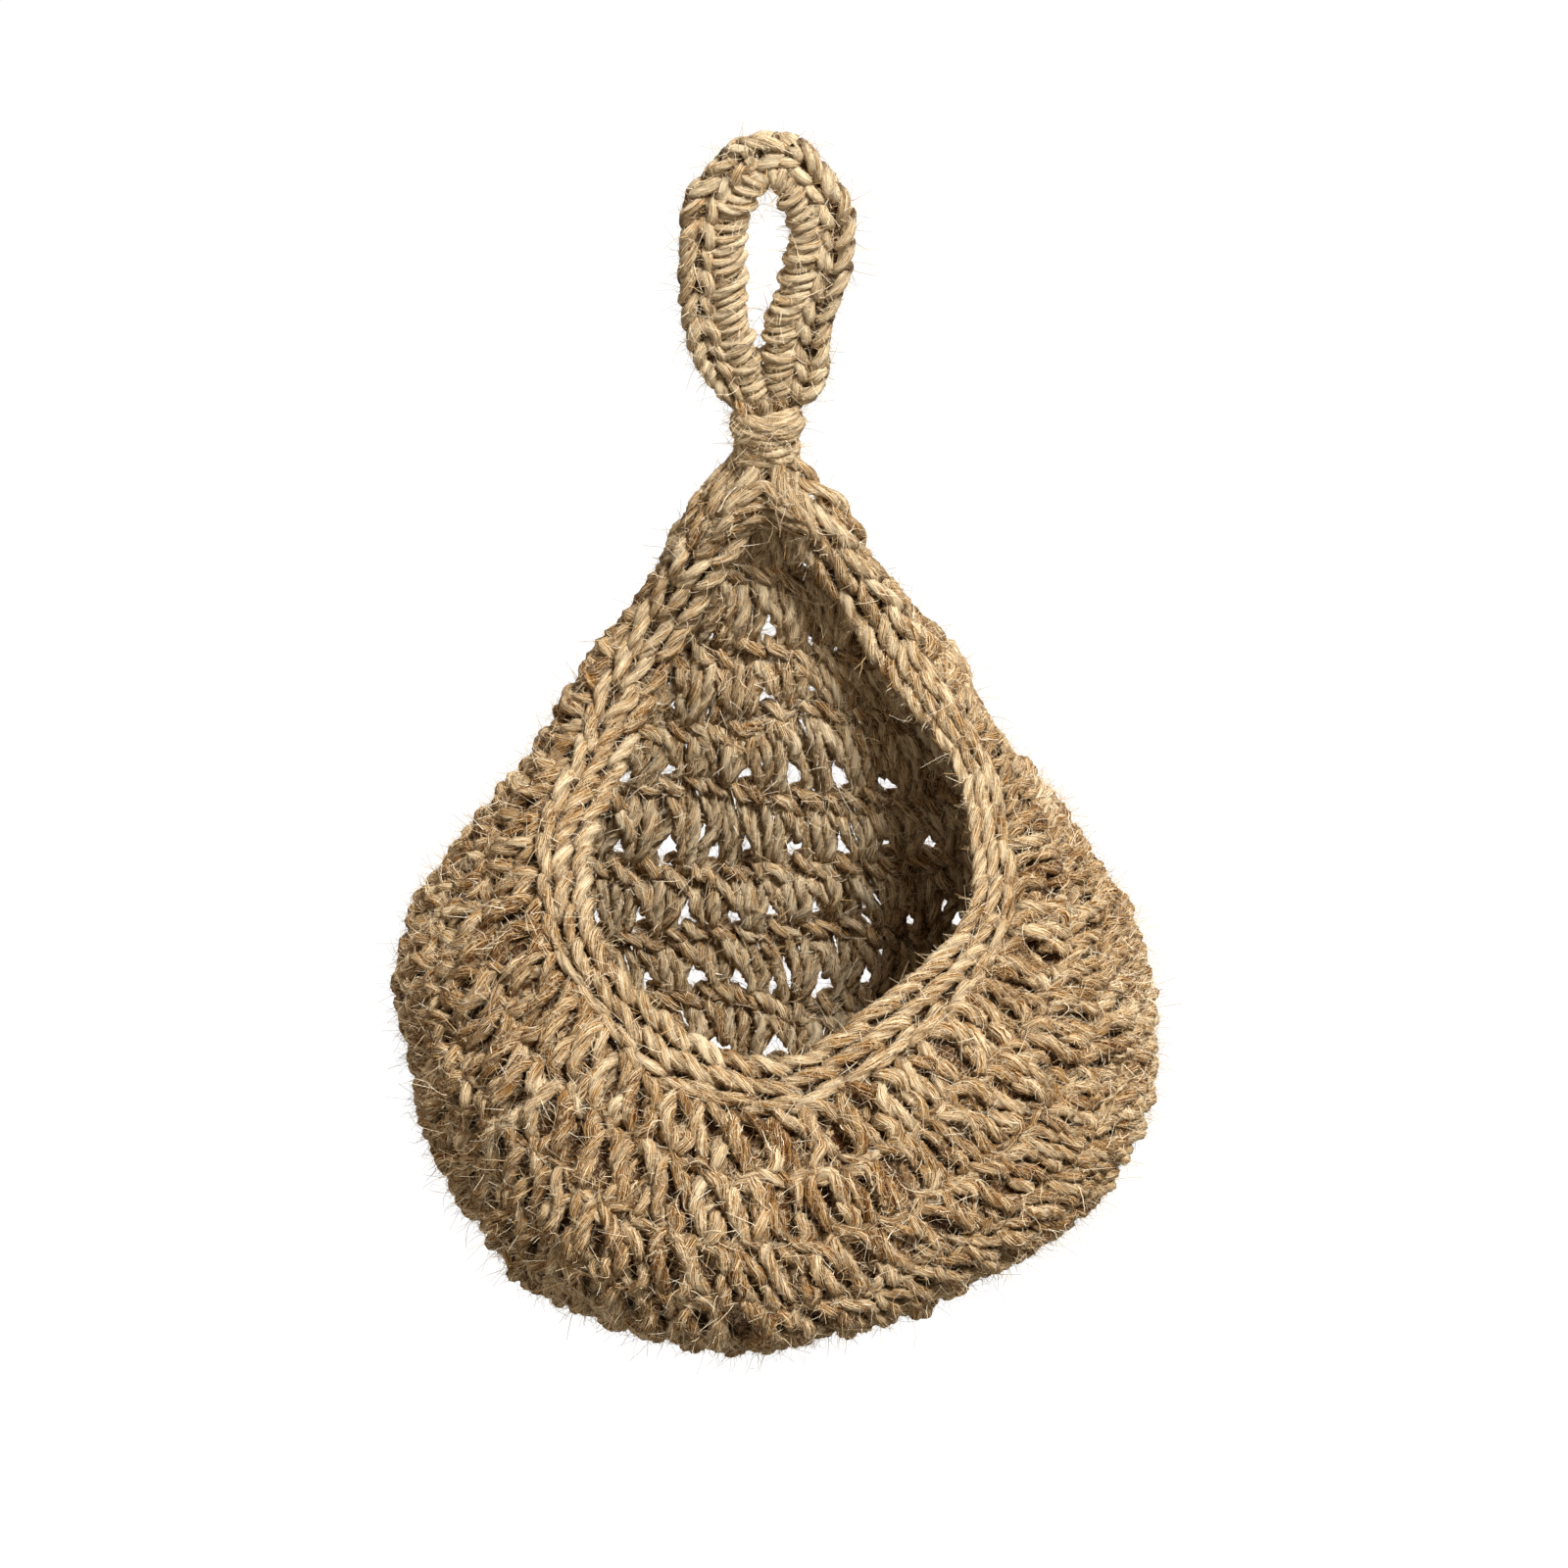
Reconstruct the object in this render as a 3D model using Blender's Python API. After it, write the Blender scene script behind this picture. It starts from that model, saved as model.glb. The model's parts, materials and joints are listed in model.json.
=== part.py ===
# Hanging wall basket in crocheted jute: a flat back of straight rows, a deep round pocket of
# courses that run parallel to its tear-shaped mouth, a two-braid rim, a bound neck and a loop.
# Metres, +Z up. The origin is the highest point inside the hanging loop's eye, the pocket
# faces -Y, and the back lies in the plane y = WALL_Y.

import math

import bmesh
import bpy
import numpy as np
from mathutils import Vector

MM = 0.001

# Driving dimensions
BASKET_WIDTH = 195 * MM
BASKET_HEIGHT = 195 * MM
BASKET_DEPTH = 168 * MM
FABRIC_THICKNESS = 7.5 * MM
RIM_BRAID_WIDTH = 6.3 * MM
NECK_HEIGHT = 17.6 * MM
NECK_WIDTH = 18.5 * MM
LOOP_HEIGHT = 73 * MM
LOOP_BAND_WIDTH = 16.5 * MM
LOOP_BAND_THICKNESS = 9 * MM
EYE_WIDTH = 10 * MM
CLEARANCE = 0.3 * MM

# Smaller sizes of the pieces
WALL_COURSES = 13
BACK_ROWS = 8
SHORTEST_COURSE = 1.5 * MM
SIDE_LEAN = 3 * MM
ROW_EDGE_ROUND = 1.6 * MM
GATHER_HEIGHT = 13 * MM
GATHER_WIDTH = 27 * MM
GATHER_DEPTH = 16 * MM
GATHER_TOP_WIDTH = 17 * MM
GATHER_TOP_DEPTH = 13 * MM
PIVOT_DROP = 2 * MM
NECK_BALL_RADIUS = 7.5 * MM
NECK_FLARE_WIDTH = 16.5 * MM
NECK_FLARE_HEIGHT = 1 * MM
BINDING_TURNS = 3
BINDING_GAP = 0.5 * MM
LEG_TAPER_HEIGHT = 18 * MM
LOOP_CORE_WIDTH = 3 * MM

# Shares of the loop's band: how much of its width the edge braid takes, and how deep that braid is.
LOOP_EDGE_SHARE = 0.38
LOOP_EDGE_DEPTH_SHARE = 0.8

# Heights, counted down from the top of the eye
NECK_TOP_Z = LOOP_BAND_WIDTH - LOOP_HEIGHT
APEX_Z = NECK_TOP_Z - NECK_HEIGHT
PIVOT_Z = APEX_Z - PIVOT_DROP
GATHER_BOTTOM_Z = APEX_Z - GATHER_HEIGHT
WALL_Y = NECK_WIDTH / 2 + CLEARANCE

# The binding's yarn is as thick as its turns leave room for between the neck's two flares.
BINDING_SPAN = NECK_HEIGHT - 2 * NECK_FLARE_HEIGHT - 3 * CLEARANCE
BINDING_YARN = (BINDING_SPAN - BINDING_TURNS * BINDING_GAP) / (BINDING_TURNS + 1)

# The pocket's skin runs from the rim to the edge of the back in 17 stations, from the left of the
# apex round the bottom to its right. Each row holds (across, forward, down): shares of half the
# width, of the depth in front of the back, and of the height. The two middle rows are the handles
# of a cubic curve from the rim's row to the edge's row.
RIM_SHARES = (
    (-0.04, 0.00, 0.02), (-0.16, 0.00, 0.11), (-0.29, 0.01, 0.23), (-0.42, 0.08, 0.33),
    (-0.52, 0.23, 0.39), (-0.57, 0.38, 0.43), (-0.51, 0.53, 0.48), (-0.32, 0.67, 0.54),
    (-0.03, 0.74, 0.57), (0.26, 0.67, 0.54), (0.50, 0.52, 0.50), (0.58, 0.38, 0.45),
    (0.54, 0.23, 0.39), (0.42, 0.08, 0.33), (0.28, 0.01, 0.23), (0.15, 0.00, 0.11),
    (0.04, 0.00, 0.02),
)
FRONT_HANDLE_SHARES = (
    (-0.05, 0.00, 0.02), (-0.18, 0.00, 0.11), (-0.34, 0.02, 0.22), (-0.54, 0.11, 0.33),
    (-0.72, 0.26, 0.40), (-0.86, 0.45, 0.47), (-0.88, 0.76, 0.58), (-0.60, 1.08, 0.74),
    (0.00, 1.24, 0.81), (0.60, 1.08, 0.74), (0.90, 0.76, 0.58), (0.90, 0.45, 0.47),
    (0.74, 0.26, 0.40), (0.50, 0.11, 0.34), (0.33, 0.02, 0.23), (0.18, 0.00, 0.11),
    (0.05, 0.00, 0.02),
)
BACK_HANDLE_SHARES = (
    (-0.05, 0.00, 0.02), (-0.18, 0.00, 0.11), (-0.34, 0.01, 0.22), (-0.57, 0.05, 0.34),
    (-0.80, 0.12, 0.47), (-1.04, 0.20, 0.63), (-1.14, 0.36, 0.83), (-0.85, 0.70, 1.01),
    (0.00, 0.88, 1.06), (0.83, 0.69, 1.00), (1.14, 0.36, 0.83), (1.06, 0.20, 0.63),
    (0.82, 0.12, 0.47), (0.54, 0.05, 0.35), (0.33, 0.01, 0.23), (0.18, 0.00, 0.11),
    (0.05, 0.00, 0.02),
)
BACK_EDGE_SHARES = (
    (-0.07, 0.00, 0.02), (-0.20, 0.00, 0.11), (-0.34, 0.00, 0.22), (-0.49, 0.00, 0.33),
    (-0.64, 0.00, 0.45), (-0.79, 0.00, 0.57), (-0.86, 0.00, 0.73), (-0.66, 0.00, 0.90),
    (0.00, 0.00, 0.97), (0.66, 0.00, 0.90), (0.86, 0.00, 0.73), (0.79, 0.00, 0.57),
    (0.64, 0.00, 0.45), (0.47, 0.00, 0.34), (0.33, 0.00, 0.23), (0.19, 0.00, 0.11),
    (0.07, 0.00, 0.02),
)

# The eye's outline, up its left side and down its right: shares of half its width and of its height.
EYE_SHARES = (
    (-0.00, 0.00), (-0.00, 0.10), (-0.03, 0.20), (-0.22, 0.33), (-0.55, 0.48), (-0.85, 0.63),
    (-1.00, 0.78), (-0.95, 0.89), (-0.62, 0.97), (0.00, 1.00), (0.62, 0.97), (0.95, 0.89),
    (1.00, 0.78), (0.85, 0.63), (0.55, 0.48), (0.22, 0.33), (0.03, 0.20), (0.00, 0.10),
    (0.00, 0.00),
)

# Section outlines: (along, out) as shares of a course's height and of the fabric's thickness.
COURSE_SECTION_SHARES = (
    (0.00, 0.30), (0.20, 0.50), (0.80, 0.50), (1.00, 0.30),
    (1.00, -0.30), (0.80, -0.50), (0.20, -0.50), (0.00, -0.30),
)

# Angles in degrees: the neck ball's rings and the cup's, from the bottom up or down, and the
# angle above which an edge is shown sharp.
BALL_ANGLES = (90, 70, 50, 32, 15)
CUP_ANGLES = (15, 30, 45)
SHARP_ANGLE = 50

# Colours, in linear light
INNER_BRAID = (0.62, 0.44, 0.25)
OUTER_BRAID = (0.58, 0.41, 0.23)
DARK_COURSE = (0.47, 0.32, 0.18)
LIGHT_COURSE = (0.52, 0.36, 0.20)
DARK_ROW = (0.43, 0.29, 0.16)
LIGHT_ROW = (0.47, 0.32, 0.18)
CORE_YARN = (0.42, 0.29, 0.16)
BINDING_COLOUR = (0.60, 0.43, 0.24)
GATHER_COLOUR = (0.50, 0.35, 0.19)
JUTE_ROUGHNESS = 0.92

# Step counts
EYE_STEPS = 600
STATION_STEPS = 320
SKIN_STEPS = 60
RIM_LEAN_STEP = 3
COURSE_STEPS = 36
TUBE_SIDES = 6
LOOP_STEPS = 34
LOOP_SIDES = 8
ROW_SIDE_STEPS = 4
TURNED_SIDES = 20
TURN_STEPS = 24


def clear_scene():
    for old in list(bpy.data.objects):
        bpy.data.objects.remove(old, do_unlink=True)


def jute(name, colour):
    material = bpy.data.materials.new(name)
    material.use_nodes = True
    shader = material.node_tree.nodes["Principled BSDF"]
    shader.inputs["Base Color"].default_value = (*colour, 1)
    shader.inputs["Roughness"].default_value = JUTE_ROUGHNESS
    shader.inputs["Metallic"].default_value = 0
    return material


# A natural cubic curve through the points, read at places from 0 to 1.
def smooth(points, places):
    points = np.asarray(points, float)
    count = len(points)
    system = np.zeros((count, count))
    bends = np.zeros_like(points)
    system[0, 0] = system[-1, -1] = 1
    for i in range(1, count - 1):
        system[i, i - 1:i + 2] = 1, 4, 1
        bends[i] = 6 * (points[i + 1] - 2 * points[i] + points[i - 1])
    curve = np.linalg.solve(system, bends)
    reach = np.asarray(places, float) * (count - 1)
    i = np.clip(reach.astype(int), 0, count - 2)
    b = (reach - i)[:, None]
    a = 1 - b
    straight = a * points[i] + b * points[i + 1]
    return straight + ((a ** 3 - a) * curve[i] + (b ** 3 - b) * curve[i + 1]) / 6


def unit(vectors):
    return vectors / np.linalg.norm(vectors, axis=-1, keepdims=True)


def lengths_along(points):
    return np.concatenate([[0], np.cumsum(np.linalg.norm(np.diff(points, axis=0), axis=1))])


# Joins rings of points, each with as many points, into one closed solid. The two halves of the
# rings split their quads the opposite way, so that facing ends of two courses split alike.
def lofted(name, rings, material, round_piece=True):
    shape = bmesh.new()
    loops = [[shape.verts.new(point) for point in ring] for ring in rings]
    for one, two in zip(loops, loops[1:]):
        for i in range(len(one)):
            j = (i + 1) % len(one)
            if i < len(one) // 2:
                shape.faces.new((one[i], one[j], two[j]))
                shape.faces.new((one[i], two[j], two[i]))
            else:
                shape.faces.new((one[i], one[j], two[i]))
                shape.faces.new((one[j], two[j], two[i]))
    for cap in (loops[0], loops[-1]):
        shape.faces.new(cap)
    return finished(name, shape, material, round_piece)


def finished(name, shape, material, round_piece):
    bmesh.ops.recalc_face_normals(shape, faces=shape.faces)
    if shape.calc_volume(signed=True) < 0:
        bmesh.ops.reverse_faces(shape, faces=shape.faces)
    mesh = bpy.data.meshes.new(name)
    shape.to_mesh(mesh)
    shape.free()
    piece = bpy.data.objects.new(name, mesh)
    bpy.context.scene.collection.objects.link(piece)
    mesh.materials.append(material)
    if round_piece:
        mesh.shade_smooth()
        mesh.set_sharp_from_angle(angle=math.radians(SHARP_ANGLE))
    return piece


# The pocket's skin

# Turns a row of shares into places in the part's frame.
def placed(shares, lift):
    across, forward, down = np.asarray(shares, float).T
    front = FABRIC_THICKNESS + CLEARANCE + lift
    depth = front + forward * (BASKET_DEPTH - front)
    return np.stack([across * BASKET_WIDTH / 2, WALL_Y - depth, APEX_Z - down * BASKET_HEIGHT], 1)


# The skin as a grid: stations round the pocket, steps from the rim to the back.
def skin_grid():
    places = np.linspace(0, 1, STATION_STEPS + 1)
    rim = smooth(placed(RIM_SHARES, RIM_BRAID_WIDTH / 2), places)
    front = smooth(placed(FRONT_HANDLE_SHARES, RIM_BRAID_WIDTH / 2), places)
    back = smooth(placed(BACK_HANDLE_SHARES, 0), places)
    edge = smooth(placed(BACK_EDGE_SHARES, 0), places)
    t = np.linspace(0, 1, SKIN_STEPS + 1)[None, :, None]
    s = 1 - t
    ends = rim[:, None] * s ** 3 + edge[:, None] * t ** 3
    grid = ends + 3 * front[:, None] * t * s ** 2 + 3 * back[:, None] * t ** 2 * s
    return fitted_to_box(grid)


# Stretches the skin so that the courses laid on it just fill the basket's box.
def fitted_to_box(grid):
    front_y = WALL_Y - FABRIC_THICKNESS - CLEARANCE
    width = BASKET_WIDTH - FABRIC_THICKNESS
    reach = BASKET_DEPTH - FABRIC_THICKNESS - CLEARANCE - FABRIC_THICKNESS / 2
    drop = BASKET_HEIGHT - FABRIC_THICKNESS / 2
    grid = grid.copy()
    grid[..., 0] *= width / np.ptp(grid[..., 0])
    grid[..., 1] = front_y + (grid[..., 1] - front_y) * reach / (front_y - grid[..., 1].min())
    grid[..., 2] = APEX_Z + (grid[..., 2] - APEX_Z) * drop / (APEX_Z - grid[..., 2].min())
    grid[..., 0] += SIDE_LEAN * (APEX_Z - grid[..., 2]) / BASKET_HEIGHT
    return grid


class Skin:
    def __init__(self):
        self.grid = skin_grid()
        steps = np.linalg.norm(np.diff(self.grid, axis=1), axis=2)
        self.arc = np.concatenate([np.zeros((len(steps), 1)), np.cumsum(steps, axis=1)], axis=1)
        along = np.gradient(self.grid, axis=0)
        down = np.gradient(self.grid, axis=1)
        facing = unit(np.cross(along, down))
        bottom = facing[STATION_STEPS // 2, SKIN_STEPS // 3]
        self.facing = -facing if bottom[1] > 0 else facing

        self.reach = self.arc[:, -1]
        self.rim_half = RIM_BRAID_WIDTH + 3 * CLEARANCE
        self.pitch = (self.reach.max() - self.rim_half) / WALL_COURSES

    # How far down the skin a course starts, below the rim's middle line.
    def course_start(self, course):
        return self.rim_half + course * self.pitch

    # How much skin each station has left for a course before the back begins.
    def room(self, course):
        return self.reach - CLEARANCE - self.course_start(course)

    # The point and the outward direction at a station, a distance down the skin from the rim.
    def at(self, station, distance):
        arc = self.arc[station]
        point = [np.interp(distance, arc, self.grid[station, :, k]) for k in range(3)]
        facing = [np.interp(distance, arc, self.facing[station, :, k]) for k in range(3)]
        return np.array(point), unit(np.array(facing))


# The stations at which the rim and all the courses have their rings, so that neighbours run alike:
# evenly spaced ones, and those where a course begins or ends.
def shared_stations(skin):
    shared = set(np.linspace(0, STATION_STEPS, COURSE_STEPS + 1).round().astype(int))
    for course in range(WALL_COURSES):
        long_enough = np.nonzero(skin.room(course) >= SHORTEST_COURSE)[0]
        shared |= {long_enough[0], long_enough[-1]}
    return np.array(sorted(shared))


# The rim's middle line and the direction in which its braids lie side by side.
def rim_frame(skin):
    middle = skin.grid[:, 0]
    along = unit(np.gradient(middle, axis=0))
    outward = unit(np.stack([along[:, 2], np.zeros(len(along)), -along[:, 0]], axis=1))
    wall = skin.grid[:, RIM_LEAN_STEP] - middle
    side = wall + outward * FABRIC_THICKNESS / 2
    side = side - along * np.sum(side * along, axis=1, keepdims=True)
    return middle, along, unit(side)


def ring_about(centre, one, two, half_one, half_two, sides):
    turn = [2 * math.pi * (k + 0.5) / sides for k in range(sides)]
    return [centre + one * half_one * math.cos(a) + two * half_two * math.sin(a) for a in turn]


# Slides the points of an end ring along the tube until they lie at one height.
def cut_level(ring, along, height):
    return [point + along * ((height - point[2]) / along[2]) for point in ring]


def make_rim(skin):
    middle, along, side = rim_frame(skin)
    start_z = GATHER_BOTTOM_Z - CLEARANCE
    inside = np.nonzero(middle[:, 2] < start_z)[0]
    shared = shared_stations(skin)
    between = shared[(shared > inside[0]) & (shared < inside[-1])]
    picked = np.concatenate([inside[:1], between, inside[-1:]])
    half = RIM_BRAID_WIDTH / 2
    for name, offset, colour in (
        ("rim_braid_inner", -half - CLEARANCE / 2, INNER_BRAID),
        ("rim_braid_outer", half + CLEARANCE / 2, OUTER_BRAID),
    ):
        rings = []
        for i in picked:
            normal = np.cross(along[i], side[i])
            centre = middle[i] + side[i] * offset
            rings.append(ring_about(centre, side[i], normal, half, half, TUBE_SIDES))
        rings[0] = cut_level(rings[0], along[inside[0]], start_z)
        rings[-1] = cut_level(rings[-1], along[inside[-1]], start_z)
        lofted(name, rings, jute(name, colour))


def make_wall(skin):
    shared = shared_stations(skin)
    for course in range(WALL_COURSES):
        start = skin.course_start(course)
        rings = []
        for station in shared[skin.room(course)[shared] >= SHORTEST_COURSE]:
            end = min(start + skin.pitch, skin.reach[station]) - CLEARANCE
            ring = []
            for share, out in COURSE_SECTION_SHARES:
                point, facing = skin.at(station, start + share * (end - start))
                ring.append(point + facing * out * FABRIC_THICKNESS)
            rings.append(ring)
        name = f"wall_course_{course + 1:02d}"
        lofted(name, rings, jute(name, LIGHT_COURSE if course % 2 else DARK_COURSE))


# The back's outline between two heights, down its left side and up its right.
def row_outline(edge, top, bottom):
    middle = len(edge) // 2
    sides = []
    for half in (edge[:middle + 1], edge[:middle - 1:-1]):
        inside = np.interp([-top, -bottom], -half[:, 2], np.arange(len(half)))
        places = np.linspace(inside[0], inside[1], ROW_SIDE_STEPS)
        order = np.arange(len(half))
        sides.append(np.stack([np.interp(places, order, half[:, k]) for k in (0, 2)], axis=1))
    left, right = sides
    if bottom <= edge[:, 2].min():
        right = right[:-1]
    return np.concatenate([left, right[::-1]])


def make_back(skin):
    edge = skin.grid[:, -1]
    top = GATHER_BOTTOM_Z - CLEARANCE
    pitch = (top - edge[:, 2].min()) / BACK_ROWS
    for row in range(BACK_ROWS):
        high = top - row * pitch
        low = high - pitch + CLEARANCE
        if row == BACK_ROWS - 1:
            low = edge[:, 2].min()
        outline = row_outline(edge, high, low)
        centre = outline.mean(axis=0)
        half_height = (high - low) / 2
        squeeze = 1 - ROW_EDGE_ROUND / half_height
        inset = outline.copy()
        inset[:, 1] = centre[1] + (outline[:, 1] - centre[1]) * squeeze
        half_width = np.abs(outline[:, 0]).max()
        inset[:, 0] = outline[:, 0] * (1 - ROW_EDGE_ROUND / half_width)
        rings = []
        for loop, depth in (
            (outline, 0),
            (outline, FABRIC_THICKNESS - ROW_EDGE_ROUND),
            (inset, FABRIC_THICKNESS),
        ):
            rings.append([(x, WALL_Y - depth, z) for x, z in loop])
        name = f"back_row_{row + 1:02d}"
        colour = LIGHT_ROW if row % 2 else DARK_ROW
        lofted(name, rings, jute(name, colour), round_piece=False)


# The neck: a turned core with a ball below, its binding, and the gathered top of the basket

# Turns rings of (half width, half depth, height) about the neck's line, with a point at each end.
def turned(name, top, rings, bottom, material):
    shape = bmesh.new()
    loops = []
    for half_width, half_depth, height in rings:
        turn = [2 * math.pi * k / TURNED_SIDES for k in range(TURNED_SIDES)]
        points = [(half_width * math.cos(a), half_depth * math.sin(a), height) for a in turn]
        loops.append([shape.verts.new(point) for point in points])
    for one, two in zip(loops, loops[1:]):
        for i in range(TURNED_SIDES):
            j = (i + 1) % TURNED_SIDES
            shape.faces.new((one[i], one[j], two[j], two[i]))
    for height, loop in ((top, loops[0]), (bottom, loops[-1])):
        tip = shape.verts.new((0, 0, height))
        for i in range(TURNED_SIDES):
            shape.faces.new((loop[i], loop[(i + 1) % TURNED_SIDES], tip))
    return finished(name, shape, material, True)


def ball_rings(radius, angles):
    return [
        (radius * math.sin(a), radius * math.sin(a), PIVOT_Z - radius * math.cos(a))
        for a in map(math.radians, angles)
    ]


def make_neck():
    core_radius = NECK_WIDTH / 2 - BINDING_YARN - CLEARANCE
    flare = NECK_FLARE_WIDTH / 2
    top = NECK_TOP_Z - CLEARANCE
    inner_top = top - NECK_FLARE_HEIGHT
    inner_bottom = APEX_Z + NECK_FLARE_HEIGHT
    rings = [
        (flare, flare, top),
        (flare, flare, inner_top),
        (core_radius, core_radius, inner_top),
        (core_radius, core_radius, inner_bottom),
        (flare, flare, inner_bottom),
        (flare, flare, APEX_Z),
    ]
    rings += ball_rings(NECK_BALL_RADIUS, BALL_ANGLES)
    core = jute("neck_core", CORE_YARN)
    turned("neck_core", top, rings, PIVOT_Z - NECK_BALL_RADIUS, core)
    make_binding(core_radius, inner_top, inner_bottom)


# The binding is one yarn: turns that climb at a steady rate, with a straight run at each end.
def make_binding(core_radius, high, low):
    radius = core_radius + CLEARANCE + BINDING_YARN / 2
    start = low + CLEARANCE + BINDING_YARN / 2
    rise = (high - low - 2 * CLEARANCE - BINDING_YARN) / BINDING_TURNS
    steps = BINDING_TURNS * TURN_STEPS
    points = []
    for k in range(steps + 1):
        a = math.pi / 2 + 2 * math.pi * k / TURN_STEPS
        points.append(Vector((radius * math.cos(a), radius * math.sin(a), start + rise * k / TURN_STEPS)))
    first_run = (points[0] - points[1]).normalized() * BINDING_YARN
    last_run = (points[-1] - points[-2]).normalized() * BINDING_YARN
    first_run.z = 0
    last_run.z = 0
    points = [points[0] + first_run] + points + [points[-1] + last_run]
    gap = least_gap_to_itself(points, BINDING_YARN, TURN_STEPS // 2)
    print(f"neck_binding: least gap to itself {gap / MM:.2f} mm, wanted over {BINDING_GAP / MM:.2f} mm")
    curve = bpy.data.curves.new("neck_binding", "CURVE")
    curve.dimensions = "3D"
    line = curve.splines.new("POLY")
    line.points.add(len(points) - 1)
    for point, place in zip(line.points, points):
        point.co = (*place, 1)
    curve.bevel_depth = BINDING_YARN / 2
    curve.bevel_resolution = 1
    curve.use_fill_caps = True
    piece = bpy.data.objects.new("neck_binding", curve)
    bpy.context.scene.collection.objects.link(piece)
    curve.materials.append(jute("neck_binding", BINDING_COLOUR))


# The least distance between two points of a tube that lie at least some steps apart, less its width.
def least_gap_to_itself(points, width, steps_apart):
    least = math.inf
    for i, one in enumerate(points):
        for two in points[i + steps_apart:]:
            least = min(least, (one - two).length - width)
    return least


def make_gather():
    cup = NECK_BALL_RADIUS + CLEARANCE
    cup_rings = ball_rings(cup, CUP_ANGLES)
    top_z = cup_rings[-1][2]
    rings = list(cup_rings)
    rings.append((GATHER_TOP_WIDTH / 2, GATHER_TOP_DEPTH / 2, top_z - CLEARANCE))
    rings.append((GATHER_WIDTH / 2, GATHER_DEPTH / 2, GATHER_BOTTOM_Z))
    gather = jute("apex_gather", GATHER_COLOUR)
    turned("apex_gather", PIVOT_Z - cup, rings, GATHER_BOTTOM_Z, gather)


# The hanging loop: a core cord, the stitches that close round it and the braid along their edge

# The eye's edge as points from the left leg's foot to the right's, with the outward direction.
def eye_edge():
    across, up = np.asarray(EYE_SHARES).T
    side = np.sign(np.linspace(-1, 1, len(across)))
    x = side * CLEARANCE / 2 + across * (EYE_WIDTH - CLEARANCE) / 2
    z = NECK_TOP_Z - up * NECK_TOP_Z
    line = smooth(np.stack([x, np.zeros(len(x)), z], axis=1), np.linspace(0, 1, EYE_STEPS))
    leg = np.where(np.arange(EYE_STEPS) < EYE_STEPS // 2, -1, 1)
    line[:, 0] = leg * np.maximum(np.abs(line[:, 0]), CLEARANCE / 2)
    along = unit(np.gradient(line, axis=0))
    outward = np.stack([-along[:, 2], np.zeros(len(along)), along[:, 0]], axis=1)
    outward[0] = (-1, 0, 0)
    outward[-1] = (1, 0, 0)
    return line, outward


def band_width(z):
    foot = NECK_WIDTH / 2 - CLEARANCE / 2
    left = np.clip(1 - (z - NECK_TOP_Z) / LEG_TAPER_HEIGHT, 0, 1)
    return LOOP_BAND_WIDTH - (LOOP_BAND_WIDTH - foot) * left ** 2


def make_loop():
    line, outward = eye_edge()
    width = band_width(line[:, 2])
    lengths = lengths_along(line + outward * width[:, None] / 2)
    wanted = np.linspace(0, lengths[-1], LOOP_STEPS + 1)
    order = np.arange(len(line))
    forward = np.array([0.0, -1.0, 0.0])
    edge_rings = []
    cover_rings = []
    core_rings = []
    for place in np.interp(wanted, lengths, order):
        start = np.array([np.interp(place, order, line[:, k]) for k in range(3)])
        out = unit(np.array([np.interp(place, order, outward[:, k]) for k in range(3)]))
        whole = np.interp(place, order, width)
        edge = whole * LOOP_EDGE_SHARE
        cover = whole - edge - CLEARANCE
        thick = LOOP_BAND_THICKNESS / 2
        middle = start + out * cover / 2
        edge_middle = start + out * (whole - edge / 2)
        edge_thick = thick * LOOP_EDGE_DEPTH_SHARE
        edge_rings.append(ring_about(edge_middle, out, forward, edge / 2, edge_thick, LOOP_SIDES))
        outer = ring_about(middle, out, forward, cover / 2, thick, LOOP_SIDES)
        bore = LOOP_CORE_WIDTH / 2 + CLEARANCE
        inner = ring_about(middle, out, forward, bore, bore, LOOP_SIDES)
        cover_rings.append((outer, inner))
        core = LOOP_CORE_WIDTH / 2
        core_rings.append(ring_about(middle, out, forward, core, core, LOOP_SIDES))
    lofted("loop_edge_braid", edge_rings, jute("loop_edge_braid", INNER_BRAID))
    lofted("loop_core", core_rings, jute("loop_core", CORE_YARN))
    sleeve("loop_cover", cover_rings, jute("loop_cover", OUTER_BRAID))


# A tube with a bore: pairs of outer and inner rings, joined along and at both ends.
def sleeve(name, ring_pairs, material):
    shape = bmesh.new()
    outers = [[shape.verts.new(point) for point in outer] for outer, _ in ring_pairs]
    inners = [[shape.verts.new(point) for point in inner] for _, inner in ring_pairs]
    sides = len(outers[0])
    for i in range(sides):
        j = (i + 1) % sides
        for one, two in zip(outers, outers[1:]):
            shape.faces.new((one[i], one[j], two[j], two[i]))
        for one, two in zip(inners, inners[1:]):
            shape.faces.new((one[j], one[i], two[i], two[j]))
        shape.faces.new((outers[0][j], outers[0][i], inners[0][i], inners[0][j]))
        shape.faces.new((outers[-1][i], outers[-1][j], inners[-1][j], inners[-1][i]))
    return finished(name, shape, material, True)


clear_scene()
pocket_skin = Skin()
make_loop()
make_neck()
make_gather()
make_rim(pocket_skin)
make_back(pocket_skin)
make_wall(pocket_skin)
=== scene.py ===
# Wall basket crocheted from jute twine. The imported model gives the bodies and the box; every
# stitch is laid here as its own length of two-ply yarn on the same skin that the solids follow.
import json
import math

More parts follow.
